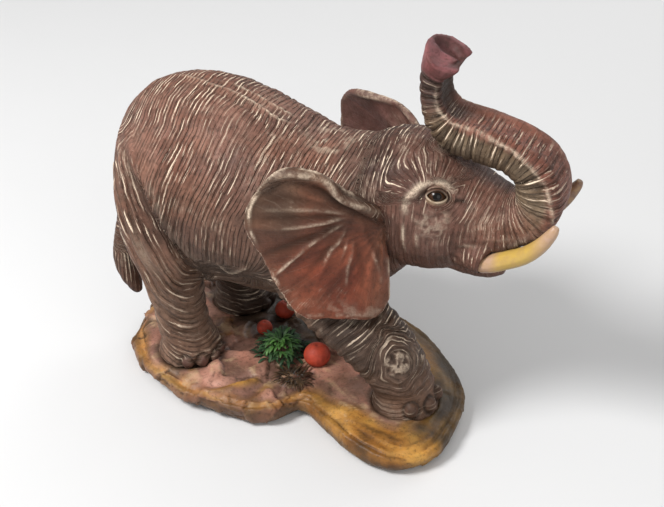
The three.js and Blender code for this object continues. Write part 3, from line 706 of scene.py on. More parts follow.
class Skin:
    """The fused skin's points and what is known of each: its casting, its ring line and its paint."""

    def __init__(self, look):
        self.look = look
        self.mesh = remeshed("skin", CASTINGS, look.grain, look.seam)
        self.edges = read_edges(self.mesh)
        self.points = read_points(self.mesh)
        self.casting = self.find_castings()
        self.body, self.head, self.trunk, self.right_ear, self.left_ear, self.tail = self.casting.T
        self.ears = np.clip(self.right_ear + self.left_ear, 0, 1)
        self.points = relax(self.points, self.edges, 22, mix(1.0, 0.55, self.ears))
        self.set_tail()
        self.round_haunches()
        self.run, _, self.over = along_path(self.points, fine_path(TRUNK_LINE))
        self.outer = self.trunk * smoothstep(-2.5, -6.5, self.over) * smoothstep(48, 66, self.run)
        self.streak, self.cavity, self.plain, self.nail = np.zeros((4, len(self.points)))
        self.refresh()

    def refresh(self):
        write_points(self.mesh, self.points)
        self.normals = read_normals(self.mesh)

    def push(self, heights):
        """Moves the points out along their normals."""
        self.points = self.points + self.normals * heights[:, None]
        self.refresh()

    def keep_most(self, **values):
        """Raises what is kept at each vertex to the given values, where those are higher."""
        for name, value in values.items():
            setattr(self, name, np.maximum(getattr(self, name), value))

    def find_castings(self):
        """For each vertex, the share of each casting, softened a little over their seams.

        A strip of the foreleg behind the near ear's lower edge is given to that ear as its hem.
        """
        corners, faces, owner = [], [], []
        for index, name in enumerate(CASTINGS):
            data = NODES[name].data
            start = len(corners)
            corners += [v.co[:] for v in data.vertices]
            faces += [[start + i for i in p.vertices] for p in data.polygons]
            owner += [index] * len(data.polygons)
        tree = BVHTree.FromPolygons(corners, faces)
        nearest = [owner[tree.find_nearest(Vector(p))[2]] for p in self.points * MM]
        shares = np.eye(len(CASTINGS))[nearest]
        for _ in range(8):
            shares = spread(shares, self.edges)
        x, y, z = self.points.T
        hem = plateau(x, 22, 26, 46, 49) * plateau(z, 69, 70.5, 76, 80) * (y < -36)
        return mix(shares, np.eye(len(CASTINGS))[CASTINGS.index("right_ear")], hem[:, None])

    def set_tail(self):
        """Sets the upper tail closer to the rump, and melts its root into it."""
        z = self.points[:, 2]
        self.points[:, 0] += TAIL_SET * smoothstep(56, 94, z) * self.tail
        melt = smoothstep(0.02, 0.2, self.tail) * smoothstep(84, 112, z)
        self.points = soften(self.points, self.edges, 16, melt)

    def round_haunches(self):
        """Rounds off the corner of the rump on both sides."""
        haunch = bell(distance(near_side(self.points), HAUNCH), 13) * self.body
        self.points[:, 0] += HAUNCH_SET * haunch
        self.points = soften(self.points, self.edges, 60, np.minimum(1, 1.5 * haunch))


def thigh_rings(x, z):
    """Rings that hang round the hind leg and rise along its crease, seen from the side.

    Also gives how far ahead of the crease each point lies, and how surely it is in the leg.
    """
    foot = np.array(HIP_CREASE[0])
    size = np.linalg.norm(np.array(HIP_CREASE[1]) - foot)
    up_x, up_z = (np.array(HIP_CREASE[1]) - foot) / size
    along = np.clip((x - foot[0]) * up_x + (z - foot[1]) * up_z, 0, None)
    away = np.hypot(x - foot[0] - along * up_x, z - foot[1] - along * up_z)
    beside = (x - foot[0]) * up_z - (z - foot[1]) * up_x
    return -88 - 0.85 * away, beside, smoothstep(foot[1] + 4, foot[1] - 6, z)


def eye_gap(points):
    """From the nearer eye to each point, seen from its own side."""
    return near_side(points) - NEAR_EYE


def round_ear(x, z):
    """The angle of each point round the ear's root, seen from the side, and how far it is from it."""
    back, up = EAR_ROOT[0] - x, z - EAR_ROOT[1]
    return np.arctan2(up, back), np.hypot(up, back)


def ring_lines(skin):
    """A value in millimetres that grows across the wrinkles and is even along each of them."""
    p = skin.points
    x, y, z = p.T
    near = y < 0

    # Rings round the rump, which lean forward up the flank
    wide = np.hypot(y, 1.2 * np.clip(z - POLE_HEIGHT, 0, None))
    pole_turn = np.arctan2(np.clip(RUMP_X - x, 0, None), np.maximum(wide, 1e-3))
    lean = FLANK_LEAN * 10 * np.log1p(np.exp((np.minimum(z, 146) - 92) / 10))
    lines = np.where(x < RUMP_X, RUMP_X - 46 * pole_turn, x) - lean * (1 - skin.head)

    # The hind legs, the belly, the forelegs and the knee
    thigh, beside, below = thigh_rings(x, z)
    behind_crease = smoothstep(1.2, -1.2, beside) * smoothstep(142, 122, z)
    lines = mix(lines, thigh, np.maximum(behind_crease, below * smoothstep(-24, -40, x)))
    low_belly = plateau(z, 56, 62, 74, 83) * plateau(x, -44, -36, -14, -2)
    lines = mix(lines, -60 + 1.1 * z - 0.25 * x, low_belly)
    leg_run = along_path(p, fine_path(NEAR_LEG_LINE))[0]
    foreleg = np.where(near, leg_run - 14, 10 + (80 - z) * 0.8)
    lines = mix(lines, foreleg, smoothstep(96, 66, z) * smoothstep(-22, -8, x) * skin.body)
    knee = distance(p, KNEE, (1, 1, 0.8)) + 3.5 * layered_noise(p / 9, 2, 61)
    lines = mix(lines, 60 + knee, smoothstep(17, 10, knee) * near)

    # The face and the trunk, and rays over the eyes
    face = np.maximum(smoothstep(60, 84, x) * (skin.head + skin.trunk), skin.trunk)
    slant = 0.45 * np.clip(z - 120, 0, None) * plateau(x, 70, 84, 96, 110) * skin.head
    lines = mix(lines, 60 + skin.run - slant, np.clip(face, 0, 1))
    gap = eye_gap(p)
    brow = plateau(np.linalg.norm(gap, axis=1), 6, 9, 20, 28) * skin.head
    rays = 100 - 17 * np.arctan2(gap[:, 2], gap[:, 0])
    lines = mix(lines, rays, brow * smoothstep(0, 5, gap[:, 2] - 0.25 * gap[:, 0]))

    # The ears, with their rolled edge, and the tail with its hair
    roll_run, roll, _ = along_path(p, fine_path(EAR_ROLL, 4))
    fan = mix(round_ear(x, z)[0] * 55, 1.5 * y - z + 0.25 * roll_run, smoothstep(6, 3, roll))
    lines = np.where(skin.ears > 0.5, fan, lines)
    hair = np.arctan2(y + 4, x + 104) * 9
    tail = mix(z * 0.8, hair, smoothstep(66, 52, z))
    return np.where((skin.tail > 0.5) & (z < 92), tail, lines)


def carving(skin):
    """How strongly the tooled lines show: faintly on the nose, round the eyes, on the ears and the pole."""
    p = skin.points
    x, y, z = p.T
    roll = along_path(p, fine_path(EAR_ROLL, 4))[1]
    calm = np.maximum.reduce([
        0.93 * skin.ears * (1 - 0.9 * bell(roll, 4.5, 4)),
        0.6 * bell(distance(p, NOSE, (1, 0, 1)), 24) * (skin.head + skin.trunk),
        0.45 * skin.head * smoothstep(44, 56, x),
        0.55 * smoothstep(44, 32, z) * smoothstep(0, 30, x),
        0.5 * smoothstep(11, 7, np.linalg.norm(eye_gap(p), axis=1)),
        0.85 * skin.outer * smoothstep(1, 8, y),
        0.5 * smoothstep(0.0, 0.5, layered_noise(p / 26, 2, 101)),
        0.95 * bell(np.hypot(y, z - POLE_HEIGHT), 9) * smoothstep(-80, -90, x),
    ])
    return (1 - skin.plain) * (1 - calm) * (1 + 0.4 * skin.trunk * (1 - skin.outer))


def wrinkle(skin):
    """Moves the skin's points into wrinkles along the ring lines, and keeps the lines for the paint."""
    p = skin.points
    x, _, z = p.T
    wander = 3.4 * layered_noise(p / 32, 2, 5) + 0.45 * layered_noise(p / 9, 2, 6)
    skin.lines = ring_lines(skin) + wander * (1 - 0.8 * skin.trunk)
    skin.grain = p / mix(13, 8.5, skin.head)[:, None] + (skin.lines / LINE_PITCH)[:, None] * LINE_HEADING
    turn = (skin.lines - LINE_PITCH / 2) / (2 * LINE_PITCH)
    drift = turn[:, None] * LINE_HEADING
    off = np.abs(turn - np.floor(turn) - 0.5) * 2
    groove = bell(off, 0.26) * smoothstep(-0.4, 0.3, layered_noise(p / 24 + drift, 2, 11))
    ragged = layered_noise(p / 9 + 2 * drift, 2, 15)
    skin.carve = carving(skin)
    edge_on = np.maximum(smoothstep(-78, -92, x), smoothstep(146, 156, z) * (1 - skin.trunk))
    deep = skin.carve * (1 + 0.35 * skin.trunk) * (1 - 0.7 * edge_on)
    skin.height = (0.3 * (off - 0.5) - 0.8 * groove + 0.4 * ragged) * deep
    swell = 0.4 * layered_noise(p / 15, 2, 21) * (1 - skin.ears) * (1 - skin.plain)
    push = skin.height * skin.look.wrinkle / MM + swell
    push += roll_legs(skin)
    for at, reach, pitch, rise, cream in ROUGH_SPOTS:
        away = distance(near_side(p), at) + 2 * layered_noise(p / 6, 2, 62)
        rough = smoothstep(reach, 0.6 * reach, away)
        veins = 1 - 4 * np.abs(layered_noise(p * (1, 1, 0.7) / pitch, 2, 63))
        push = mix(push, rise * (veins + 0.2), rough)
        skin.keep_most(
            streak=rough * cream * smoothstep(0.1, 0.6, veins),
            cavity=rough * rise * smoothstep(-0.1, -0.8, veins),
        )
        skin.carve = skin.carve * (1 - 0.9 * rough)
    skin.push(push)


def roll_legs(skin):
    """The rise of the rolls of hide on the legs, whose hollows take a little dark wash."""
    x, _, z = skin.points.T
    wander = 1.6 * layered_noise(skin.points / 13, 2, 65)
    roll = np.cos((skin.lines + wander) * 2 * math.pi / ROLL_PITCH)
    thigh = smoothstep(-46, -56, x) * smoothstep(132, 112, z)
    limbs = np.maximum(thigh, smoothstep(80, 66, z)) * smoothstep(24, 32, z) * skin.body
    skin.keep_most(cavity=0.12 * (1 + thigh) * limbs * smoothstep(-0.1, -0.9, roll))
    return (0.45 + 0.5 * thigh) * roll * limbs


def mirrored(folds):
    return folds + [([(x, -y, z) for x, y, z in points], *rest) for points, *rest in folds]


def pleat_ears(skin):
    """Bends each ear into sharp pleats that fan out from its root, and sets its lower part outwards."""
    x, _, z = skin.points.T
    turn, reach = round_ear(x, z)
    bent = turn * EAR_PLEATS / 2 + 1.1 * layered_noise(skin.points / 30, 2, 31)
    wave = 0.62 - np.abs(np.sin(bent)) ** 0.75
    uneven = 1 + 0.6 * layered_noise(skin.points / 22, 2, 33)
    calm = 1 - 0.6 * smoothstep(20, 44, reach) * smoothstep(-0.35, -1.0, turn)
    push = 0.5 * wave * uneven * calm * smoothstep(3, 24, reach) + EAR_SET * smoothstep(90, 72, z)
    skin.pleat = np.where(skin.ears > 0.5, 0.3 * wave * calm, 0)
    skin.rim = np.zeros(len(x))
    for share, side in ((skin.right_ear, -1), (skin.left_ear, 1)):
        out = np.array(EAR_FACE) * (1, side, 1)
        skin.points = skin.points + out * (push * share)[:, None]
        edge = smoothstep(0.72, 0.45, np.abs(skin.normals @ out)) * smoothstep(14, 26, reach)
        skin.rim = np.where(share > 0.5, edge, skin.rim)
    skin.refresh()


def shape_trunk(skin):
    """Raises the ridge on each side of the trunk, hollows the face between and shapes the tip, with painted
    shade inside its far wall.
    """
    p, run, trunk = skin.points, skin.run, skin.trunk
    x, y, _ = p.T
    ridges = [along_path(p, fine_path(np.array(TRUNK_RIDGE) * (1, side, 1), 4))[1] for side in (1, -1)]
    mark = bell(np.minimum(*ridges), 1.25) * trunk
    hollow = skin.outer * smoothstep(11, 3, np.abs(y)) * smoothstep(70, 96, run)
    axis = np.array(TIP_AXIS) / np.linalg.norm(TIP_AXIS)
    gap = p - np.array(TRUNK_LINE[-1])
    depth = gap @ axis
    wide = np.linalg.norm(gap - depth[:, None] * axis, axis=1)
    inside = (wide < 7.6) & (depth > -6) & (trunk > 0.5)
    well = bell(x - 68, 7, 4) * bell(y - 5, 4.2, 4)
    raised = 0.25 * depth - 0.4 * (1 - (wide / 8) ** 2) - 2.6 * well
    dip = 3.0 * smoothstep(1, -10, y) * bell(gap[:, 0], 7) * smoothstep(-16, 0, depth) * trunk
    nostril = bell(y - 1, 1.3) * bell(x - 66, 2.4) * inside
    # painted shade on the inner face of the tip's far wall
    far_wall_shade = smoothstep(0, 3, y) * smoothstep(-5, -2, depth) * smoothstep(11, 9, wide) * trunk
    dark_hollow = 0.78 * hollow * smoothstep(108, 128, run)
    plain_hollow = 0.35 * hollow * smoothstep(104, 120, run)
    skin.keep_most(
        streak=0.6 * mark**1.8 * smoothstep(150, 142, run),
        cavity=np.maximum.reduce([dark_hollow, 0.85 * nostril, 0.6 * far_wall_shade]),
        plain=np.maximum(plain_hollow, smoothstep(*TIP_RUN, run) * trunk),
    )
    lift = np.where(inside, raised - depth, 0) - 0.7 * nostril - dip
    moved = p + skin.normals * (mark - 1.9 * hollow)[:, None] + axis * lift[:, None]
    skin.points = relax(moved, skin.edges, 14, smoothstep(-9, -4, depth) * (trunk > 0.5))
    skin.refresh()


def shape_toes(skin):
    """Melts the cast toes of the hind feet, and gives each foot its row of flat nails."""

    def away_from(sole, angle, high):
        turn = math.radians(angle)
        at = (sole[0] + TOE_ROW[0] * math.cos(turn), sole[1] + TOE_ROW[1] * math.sin(turn), high)
        return distance(skin.points, at, (1, 1, 0.85))

    hind = [away_from(sole, turn, CAST_TOE_HEIGHT) for sole, *_ in FEET[:2] for turn in CAST_TURNS]
    melt = smoothstep(7.5, 5, np.min(hind, axis=0)) * skin.body
    skin.points = soften(skin.points, skin.edges, 70, melt)
    push = np.zeros(len(skin.points))
    for sole, turns, (high, radius, rise) in FEET:
        for angle in turns:
            away = away_from(sole, angle, high)
            plate = bell(away, radius, 6) * skin.body
            ditch = bell(away - radius - NAIL_GROOVE, 0.7) * skin.body
            push += rise * plate - 0.8 * ditch
            skin.keep_most(nail=plate, cavity=0.85 * ditch)
    skin.keep_most(plain=skin.nail)
    skin.push(push)


def fold_skin(skin):
    """Cuts and raises the listed folds, and keeps what paint each brings."""
    groups = (
        (mirrored(FLANK_FOLDS) + SPINE_FOLDS, skin.body, 2.2),
        (mirrored(HEAD_FOLDS), skin.head + skin.trunk, 2.2),
        (NEAR_EAR_FOLDS, skin.right_ear, 4.5),
        (FAR_EAR_FOLDS, skin.left_ear, 2.2),
    )
    push = np.zeros(len(skin.points))
    for folds, share, crisp in groups:
        for points, width, rise, paint in folds:
            low, high = np.min(points, axis=0) - 3 * width, np.max(points, axis=0) + 3 * width
            boxed = np.all((skin.points > low) & (skin.points < high), axis=1)
            near = np.flatnonzero(boxed & (share > 0.2))
            path = fine_path(points, 4)
            run, away, _ = along_path(skin.points[near], path)
            run /= np.linalg.norm(np.diff(path, axis=0), axis=1).sum()
            mark = bell(away, width) * share[near] * plateau(run, -0.1, 0.2, 0.8, 1.1)
            push[near] += rise * mark
            # dark marks are kept with the hollows' dark paint and the painted shadow
            kept, mark = (skin.streak, mark**crisp) if paint > 0 else (skin.cavity, mark)
            kept[near] = np.maximum(kept[near], abs(paint) * mark)
    skin.push(push)


def lay_coats(tone, coats):
    """Lays coats of paint over a tone, one after the other, each by its share at every vertex."""
    for paint, share in coats:
        tone = mix(tone, np.array(paint), share[:, None])
    return tone


def ear_tones(skin):
    """Red-brown in the near ear and grey-brown towards its rim, and mauve-brown in the far one."""
    look, p = skin.look, skin.points
    x, y, z = p.T
    red = bell(distance(p, EAR_GLOW, (1, 0, 0.8)), 27) + 0.3 * layered_noise(p / 14, 2, 39)
    pinna = lay_coats(np.array(look.ear_edge), [(look.ear, np.clip(red, 0, 1)), (look.far_ear, y > 0)])
    turn, reach = round_ear(x, z)
    fan = np.stack([8 * turn, reach / 15, y / 40], axis=1)
    mottle = 0.3 * layered_noise(p / 12, 3, 37) + 0.45 * layered_noise(fan, 3, 38)
    return pinna * (1 + 0.8 * np.clip(skin.pleat, -0.4, 0.6) + mottle)[:, None]


def paint_skin(skin):
    """Gives each vertex its tone, dark wash, dry-brushed paint and share of tooled lines, with painted light
    on the back and painted shade low down.
    """
    look, p, run = skin.look, skin.points, skin.run
    x, y, z = p.T
    upward = skin.normals[:, 2]
    legs = smoothstep(78, 52, z) * skin.body
    inner = skin.trunk * (1 - skin.outer) * plateau(run, *INNER_RUN)
    up = smoothstep(*UP_RUN, run) * skin.trunk
    tip = smoothstep(*TIP_RUN, run) * skin.trunk
    tone = lay_coats(np.array(look.flank), [
        # painted light: the back and rump lighter towards the top, where light falls
        (look.back, smoothstep(106, 136, z)),
        # painted shade: darker low on the flanks and under the belly
        (look.belly, smoothstep(104, 72, z) * (1 - 0.75 * smoothstep(-44, -58, x))),
        (look.leg, legs),
        # painted shade on the forelegs, under the ears
        (BLACK, 0.2 * smoothstep(-5, 20, x) * legs),
        (look.head, skin.head * smoothstep(20, 44, x)),
        # painted shade on the neck and shoulders behind the ears
        (BLACK, 0.48 * bell(x - 37, 17) * (skin.head + skin.body)),
        (ear_tones(skin), skin.ears),
        (np.array(look.flank) * 0.9, skin.tail),
        (look.trunk_inner, inner),
        (look.trunk_top, 0.9 * skin.outer),
        (look.trunk_up, up),
        (look.trunk_tip, tip),
        (look.nail, skin.nail),
    ])
    wash = np.maximum.reduce([
        # painted shade on every part that faces down
        0.62 * smoothstep(0.1, -0.75, upward) * (1 - skin.ears),
        0.55 * smoothstep(-0.15, -1.0, skin.height),
        0.55 * smoothstep(0.0, -0.42, skin.pleat) * skin.ears,
        # painted shade over the far side's legs, under the belly
        0.88 * smoothstep(84, 66, z) * smoothstep(-4, 10, y) * skin.body,
        skin.cavity,
    ])
    streak = np.maximum.reduce([
        skin.streak,
        0.7 * skin.rim * smoothstep(-0.4, 0.1, layered_noise(p / 5, 2, 97)),
        0.18 * smoothstep(84, 72, z) * skin.right_ear * smoothstep(0.0, 0.35, layered_noise(p / 3.5, 2, 95)),
        0.6 * bell(distance(p, WITHERS), 11) * smoothstep(0.0, 0.4, layered_noise(p / 4, 2, 91)),
    ])
    dry = smoothstep(-0.45, 0.4, upward) * (1 - 0.35 * legs) * (1 + 0.9 * inner)
    dry = dry * (1 - 0.4 * skin.outer) * (1 - 0.75 * up) * (1 - 0.85 * tip)
    dry = dry * (1 - 0.4 * skin.ears) * (1 + 0.45 * skin.head * smoothstep(44, 56, x))
    skin.layers = {
        "grain": skin.grain,
        "tone": np.clip(tone * (1 + layered_noise(p / 24, 3, 45)[:, None] * WARMTH), 0, 1),
        "lines": skin.lines,
        "wash": np.clip(wash + 0.22 * layered_noise(p / 11, 3, 81), 0, 0.94),
        "dry": np.clip(dry, 0.08, 2.0),
        "carve": np.maximum(skin.carve, 0.06),
        "streak": np.clip(streak, 0, 1),
    }


def split_skin(skin):
    """Cuts the fused skin along its glue seams, into one closed piece for each casting."""
    mesh = skin.mesh
    owner = np.argmax(skin.casting, axis=1)
    corners = read(mesh.loops, "vertex_index", kind=np.int64)
    faces = np.split(corners, np.cumsum(read(mesh.polygons, "loop_total", kind=np.int64))[:-1])
    for index, name in enumerate(CASTINGS):
        rows = [face for face in faces if owner[face[0]] == index]
        used = np.unique(np.concatenate(rows))
        fresh = np.zeros(len(owner), dtype=np.int64)
        fresh[used] = np.arange(len(used))
        piece = mesh_of(name, skin.points[used], [fresh[row].tolist() for row in rows])
        set_layers(piece, **{layer: values[used] for layer, values in skin.layers.items()})
        close_seam(piece)
        piece.normals_split_custom_set_from_vertices(skin.normals[used].tolist())
        yield name, piece


def close_seam(mesh):
    """Caps each open seam, where the piece was cut from its neighbour."""
    with reworked(mesh) as work:
        rim = [e for e in work.edges if e.is_boundary]
        caps = bmesh.ops.holes_fill(work, edges=rim, sides=0)["faces"]
        bmesh.ops.triangulate(work, faces=caps)


# Eyes and tusks


def eye_frame(side):
    """The eye's centre and its axes: along the head, up and out."""
    low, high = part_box(f"{side}_eye")
    sign = -1 if side == "right" else 1
    out = np.array([0.34, 0.80 * sign, 0.49])
    out /= np.linalg.norm(out)
    ahead = np.cross((0, 0, 1.0), out) * -sign
    ahead /= np.linalg.norm(ahead)
    return np.array((low + high) / 2) / MM, ahead, np.cross(out, ahead) * -sign, out


def ring_faces(rings, sides, closed=False):
    """Quads from each ring of points to the next, and from the last to the first where they close."""
    count = rings * sides
    faces = []
    for start in range(0, count if closed else count - sides, sides):
        for j in range(sides):
            a, b = start + j, start + (j + 1) % sides
            faces.append((a, b, (b + sides) % count, (a + sides) % count))
    return faces


def eye_ball(side):
    """The glass eye: a ball with a slight cornea, a pupil and an iris."""
    centre, ahead, up, out = eye_frame(side)
    low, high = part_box(f"{side}_eye")
    radius = (high.z - low.z) / 2 / MM - 0.05
    rings, sides = 41, 48
    polar = np.repeat(np.linspace(0, math.pi, rings), sides)[:, None]
    turn = np.tile(np.arange(sides) * 2 * math.pi / sides, rings)[:, None]
    across = np.sin(polar) * (np.cos(turn) * ahead + np.sin(turn) * up)
    points = centre + (radius + 0.25 * bell(polar, 0.55)) * (np.cos(polar) * out + across)
    iris = np.array(settings("elephant_eye").iris)
    mesh = mesh_of(f"{side}_eye_ball", points, ring_faces(rings, sides))
    set_layers(mesh, tone=np.where(polar > 1.1, EYE_WHITE, iris * np.where(polar > 0.42, 1.0, 0.05)))
    return tidy(mesh)


def eye_lids(side):
    """The folded lids round an almond opening, closed behind so that they are one solid ring."""
    look = settings("elephant_eye")
    centre, ahead, up, out = eye_frame(side)
    half_long, half_high = look.opening / MM / 2, look.height / MM / 2
    sides, steps = 96, 22
    back = 2 * sides  # the points of the two rings that close the lids behind
    t = np.repeat(np.append(np.linspace(0, 1, steps), (1, 1)), sides)
    turn = np.tile(np.arange(sides) * 2 * math.pi / sides, steps + 2)
    c, s = np.cos(turn), np.sin(turn)
    upper, lower = 0.5 + 0.5 * s, 0.5 - 0.5 * s
    almond = half_high * s * (1 - 0.45 * np.abs(c) ** 3) * np.where(s > 0, 1.0, 0.9) - 0.5 * c * np.abs(c)
    u = mix(half_long * c, 8.6 * c, t**0.9)
    v = mix(almond, 6.8 * s, t**0.9)
    ball = np.sqrt(np.maximum(5.25**2 - u * u - v * v, 0))
    height = mix(ball, 0.4, smoothstep(0.3, 1.0, t))
    for rise, whose, place, width in (
        (0.55, 1, 0.1, 0.07),
        (-0.5, 1, 0.0, 0.05),
        (-0.8, upper, 0.27, 0.08),
        (1.1, upper, 0.47, 0.12),
        (-0.35, lower, 0.33, 0.08),
        (0.3, lower, 0.5, 0.1),
    ):
        height = height + rise * whose * bell(t - place, width)
    points = centre + u[:, None] * ahead + v[:, None] * up + height[:, None] * out
    points[-back:-sides] = points[-back - sides : -back] - 2.2 * out
    points[-sides:] = points[:sides] - out
    dark = bell(t, 0.05) + upper * (0.95 * bell(t - 0.27, 0.09) + 0.75 * bell(t - 0.09, 0.06))
    dark = dark + bell(1 - np.abs(c), 0.08) * smoothstep(0.25, 0.0, t)
    dark = np.minimum(0.92, dark)
    lit = np.maximum(0.8 * np.abs(lower) ** 0.7 * bell(t - 0.12, 0.06), 0.6 * upper * bell(t - 0.46, 0.1))
    dark[-back:], lit[-back:] = 0.9, 0.0
    fade = np.maximum(smoothstep(0.1, 0.5, t), 0.85 * smoothstep(0.3, 0.7, upper))
    mesh = mesh_of(f"{side}_eye_lids", points, ring_faces(steps + 2, sides, closed=True))
    set_layers(
        mesh,
        grain=points / 3,
        tone=lay_coats(np.array(look.lid), [(settings("elephant_hide").head, fade)]),
        lines=t * 11 + layered_noise(points / 5, 2, 8),
        wash=np.clip(dark + 0.3 * layered_noise(points / 3, 2, 18), 0, 0.93),
        dry=np.full(len(points), 0.6),
        carve=smoothstep(0.15, 0.5, t),
        streak=lit,
    )
    return tidy(mesh)


def smooth_copy(node, grain, rounds, name):
    """A fine and rounded copy of a CAD node's mesh, with its points and normals."""
    mesh = remeshed(name, [node], grain * MM)
    points = read_points(mesh)
    points = relax(points, read_edges(mesh), rounds, np.ones(len(points)))
    write_points(mesh, points)
    mesh.polygons.foreach_set("use_smooth", [True] * len(mesh.polygons))
    return mesh, points, read_normals(mesh)


def tusk(side):
    """A tusk, yellow in the middle and pinkish at its root and tip, with painted shade on its underside; the
    left one has painted shade darkening its tip.
    """
    look = settings("elephant_tusk")
    mesh, points, normals = smooth_copy(f"{side}_tusk", 0.45, 14, f"{side}_tusk_skin")
    x = points[:, 0]
    ends = np.maximum(smoothstep(104, 98, x), smoothstep(117, 126, x))
    ends = np.clip(ends + 0.25 * layered_noise(points / 6, 2, 9), 0, 1)
    # painted shade that darkens the left tusk's tip
    shaded_tip = 0.85 * smoothstep(112, 120, x) * (side == "left")
    # painted shade on the underside, which faces down
    under = 0.45 * smoothstep(0.2, -0.8, normals[:, 2])
    coats = [(look.end, ends), (look.shaded_tip, shaded_tip), (BLACK, under)]
    set_layers(mesh, tone=lay_coats(np.array(look.ivory), coats))
    return mesh


# Base

SOLE_REACH = 17.0  # from a foot's middle to the edge of its sole
RIM_LEVEL = 7.5  # where the base is widest
# Ridges and cracks listed for the rear lobe: points, width, rise and share of ochre
BASE_RIDGES = [
    ([(-36, -56, 12), (-28, -53, 13), (-20, -45, 14), (-14, -38, 14)], 2.2, 1.8, 0.9),
    ([(-34, -50, 13), (-26, -47, 14), (-20, -40, 14)], 1.6, -1.4, 0.0),
    ([(0, -54, 12), (1, -46, 14), (0, -36, 14)], 1.2, -1.6, 0.0),
    ([(-56, -49, 13), (-48, -52, 12), (-44, -50, 12)], 2.4, -1.6, 0.0),
    ([(-12, -56, 12), (-8, -48, 14), (-6, -40, 14)], 2.6, 1.0, 0.5),
]


def rim_of(node):
    """A node's ring of points at its widest level, seen from above, in order round its middle."""
    points = read_points(NODES[node].data)
    level = points[np.abs(points[:, 2] - RIM_LEVEL) < 0.2][:, :2]
    order = np.argsort(np.arctan2(*(level - level.mean(axis=0)).T[::-1]))
    return level[order]


def rim_distance(points, ring):
    """How far each point lies from a closed ring, seen from above."""
    flat = points[:, :2]
    best = np.full(len(flat), np.inf)
    for a, b in zip(ring, np.roll(ring, -1, axis=0)):
        step = b - a
        share = np.clip((flat - a) @ step / max(step @ step, 1e-9), 0, 1)
        best = np.minimum(best, np.linalg.norm(flat - (a + share[:, None] * step), axis=1))
    return best


def stone_facets(points, pitch, seed):
    """For each point, the tilt of its flat chip of rock and how near it is to the chip's edge."""
    maker = np.random.default_rng(seed)
    low, high = points.min(axis=0), points.max(axis=0)
    count = int(np.prod((high - low)[:2]) / pitch**2)
    seeds = low + maker.random((count, 3)) * (high - low)
    tilts = maker.normal(0, 1, (count, 3))
    warped = points + 2.5 * np.stack([layered_noise(points / 9, 2, seed + k) for k in range(3)], axis=1)
    nearest, second = np.full((2, len(points)), np.inf)
    owner = np.zeros(len(points), dtype=int)
    for i, at in enumerate(seeds):
        away = distance(warped, at, (1, 1, 1.6))
        owner = np.where(away < nearest, i, owner)
        second = np.where(away < nearest, nearest, np.minimum(second, away))
        nearest = np.minimum(nearest, away)
    tilt = np.einsum("ij,ij->i", warped - seeds[owner], tilts[owner]) / pitch
    return tilt, second - nearest


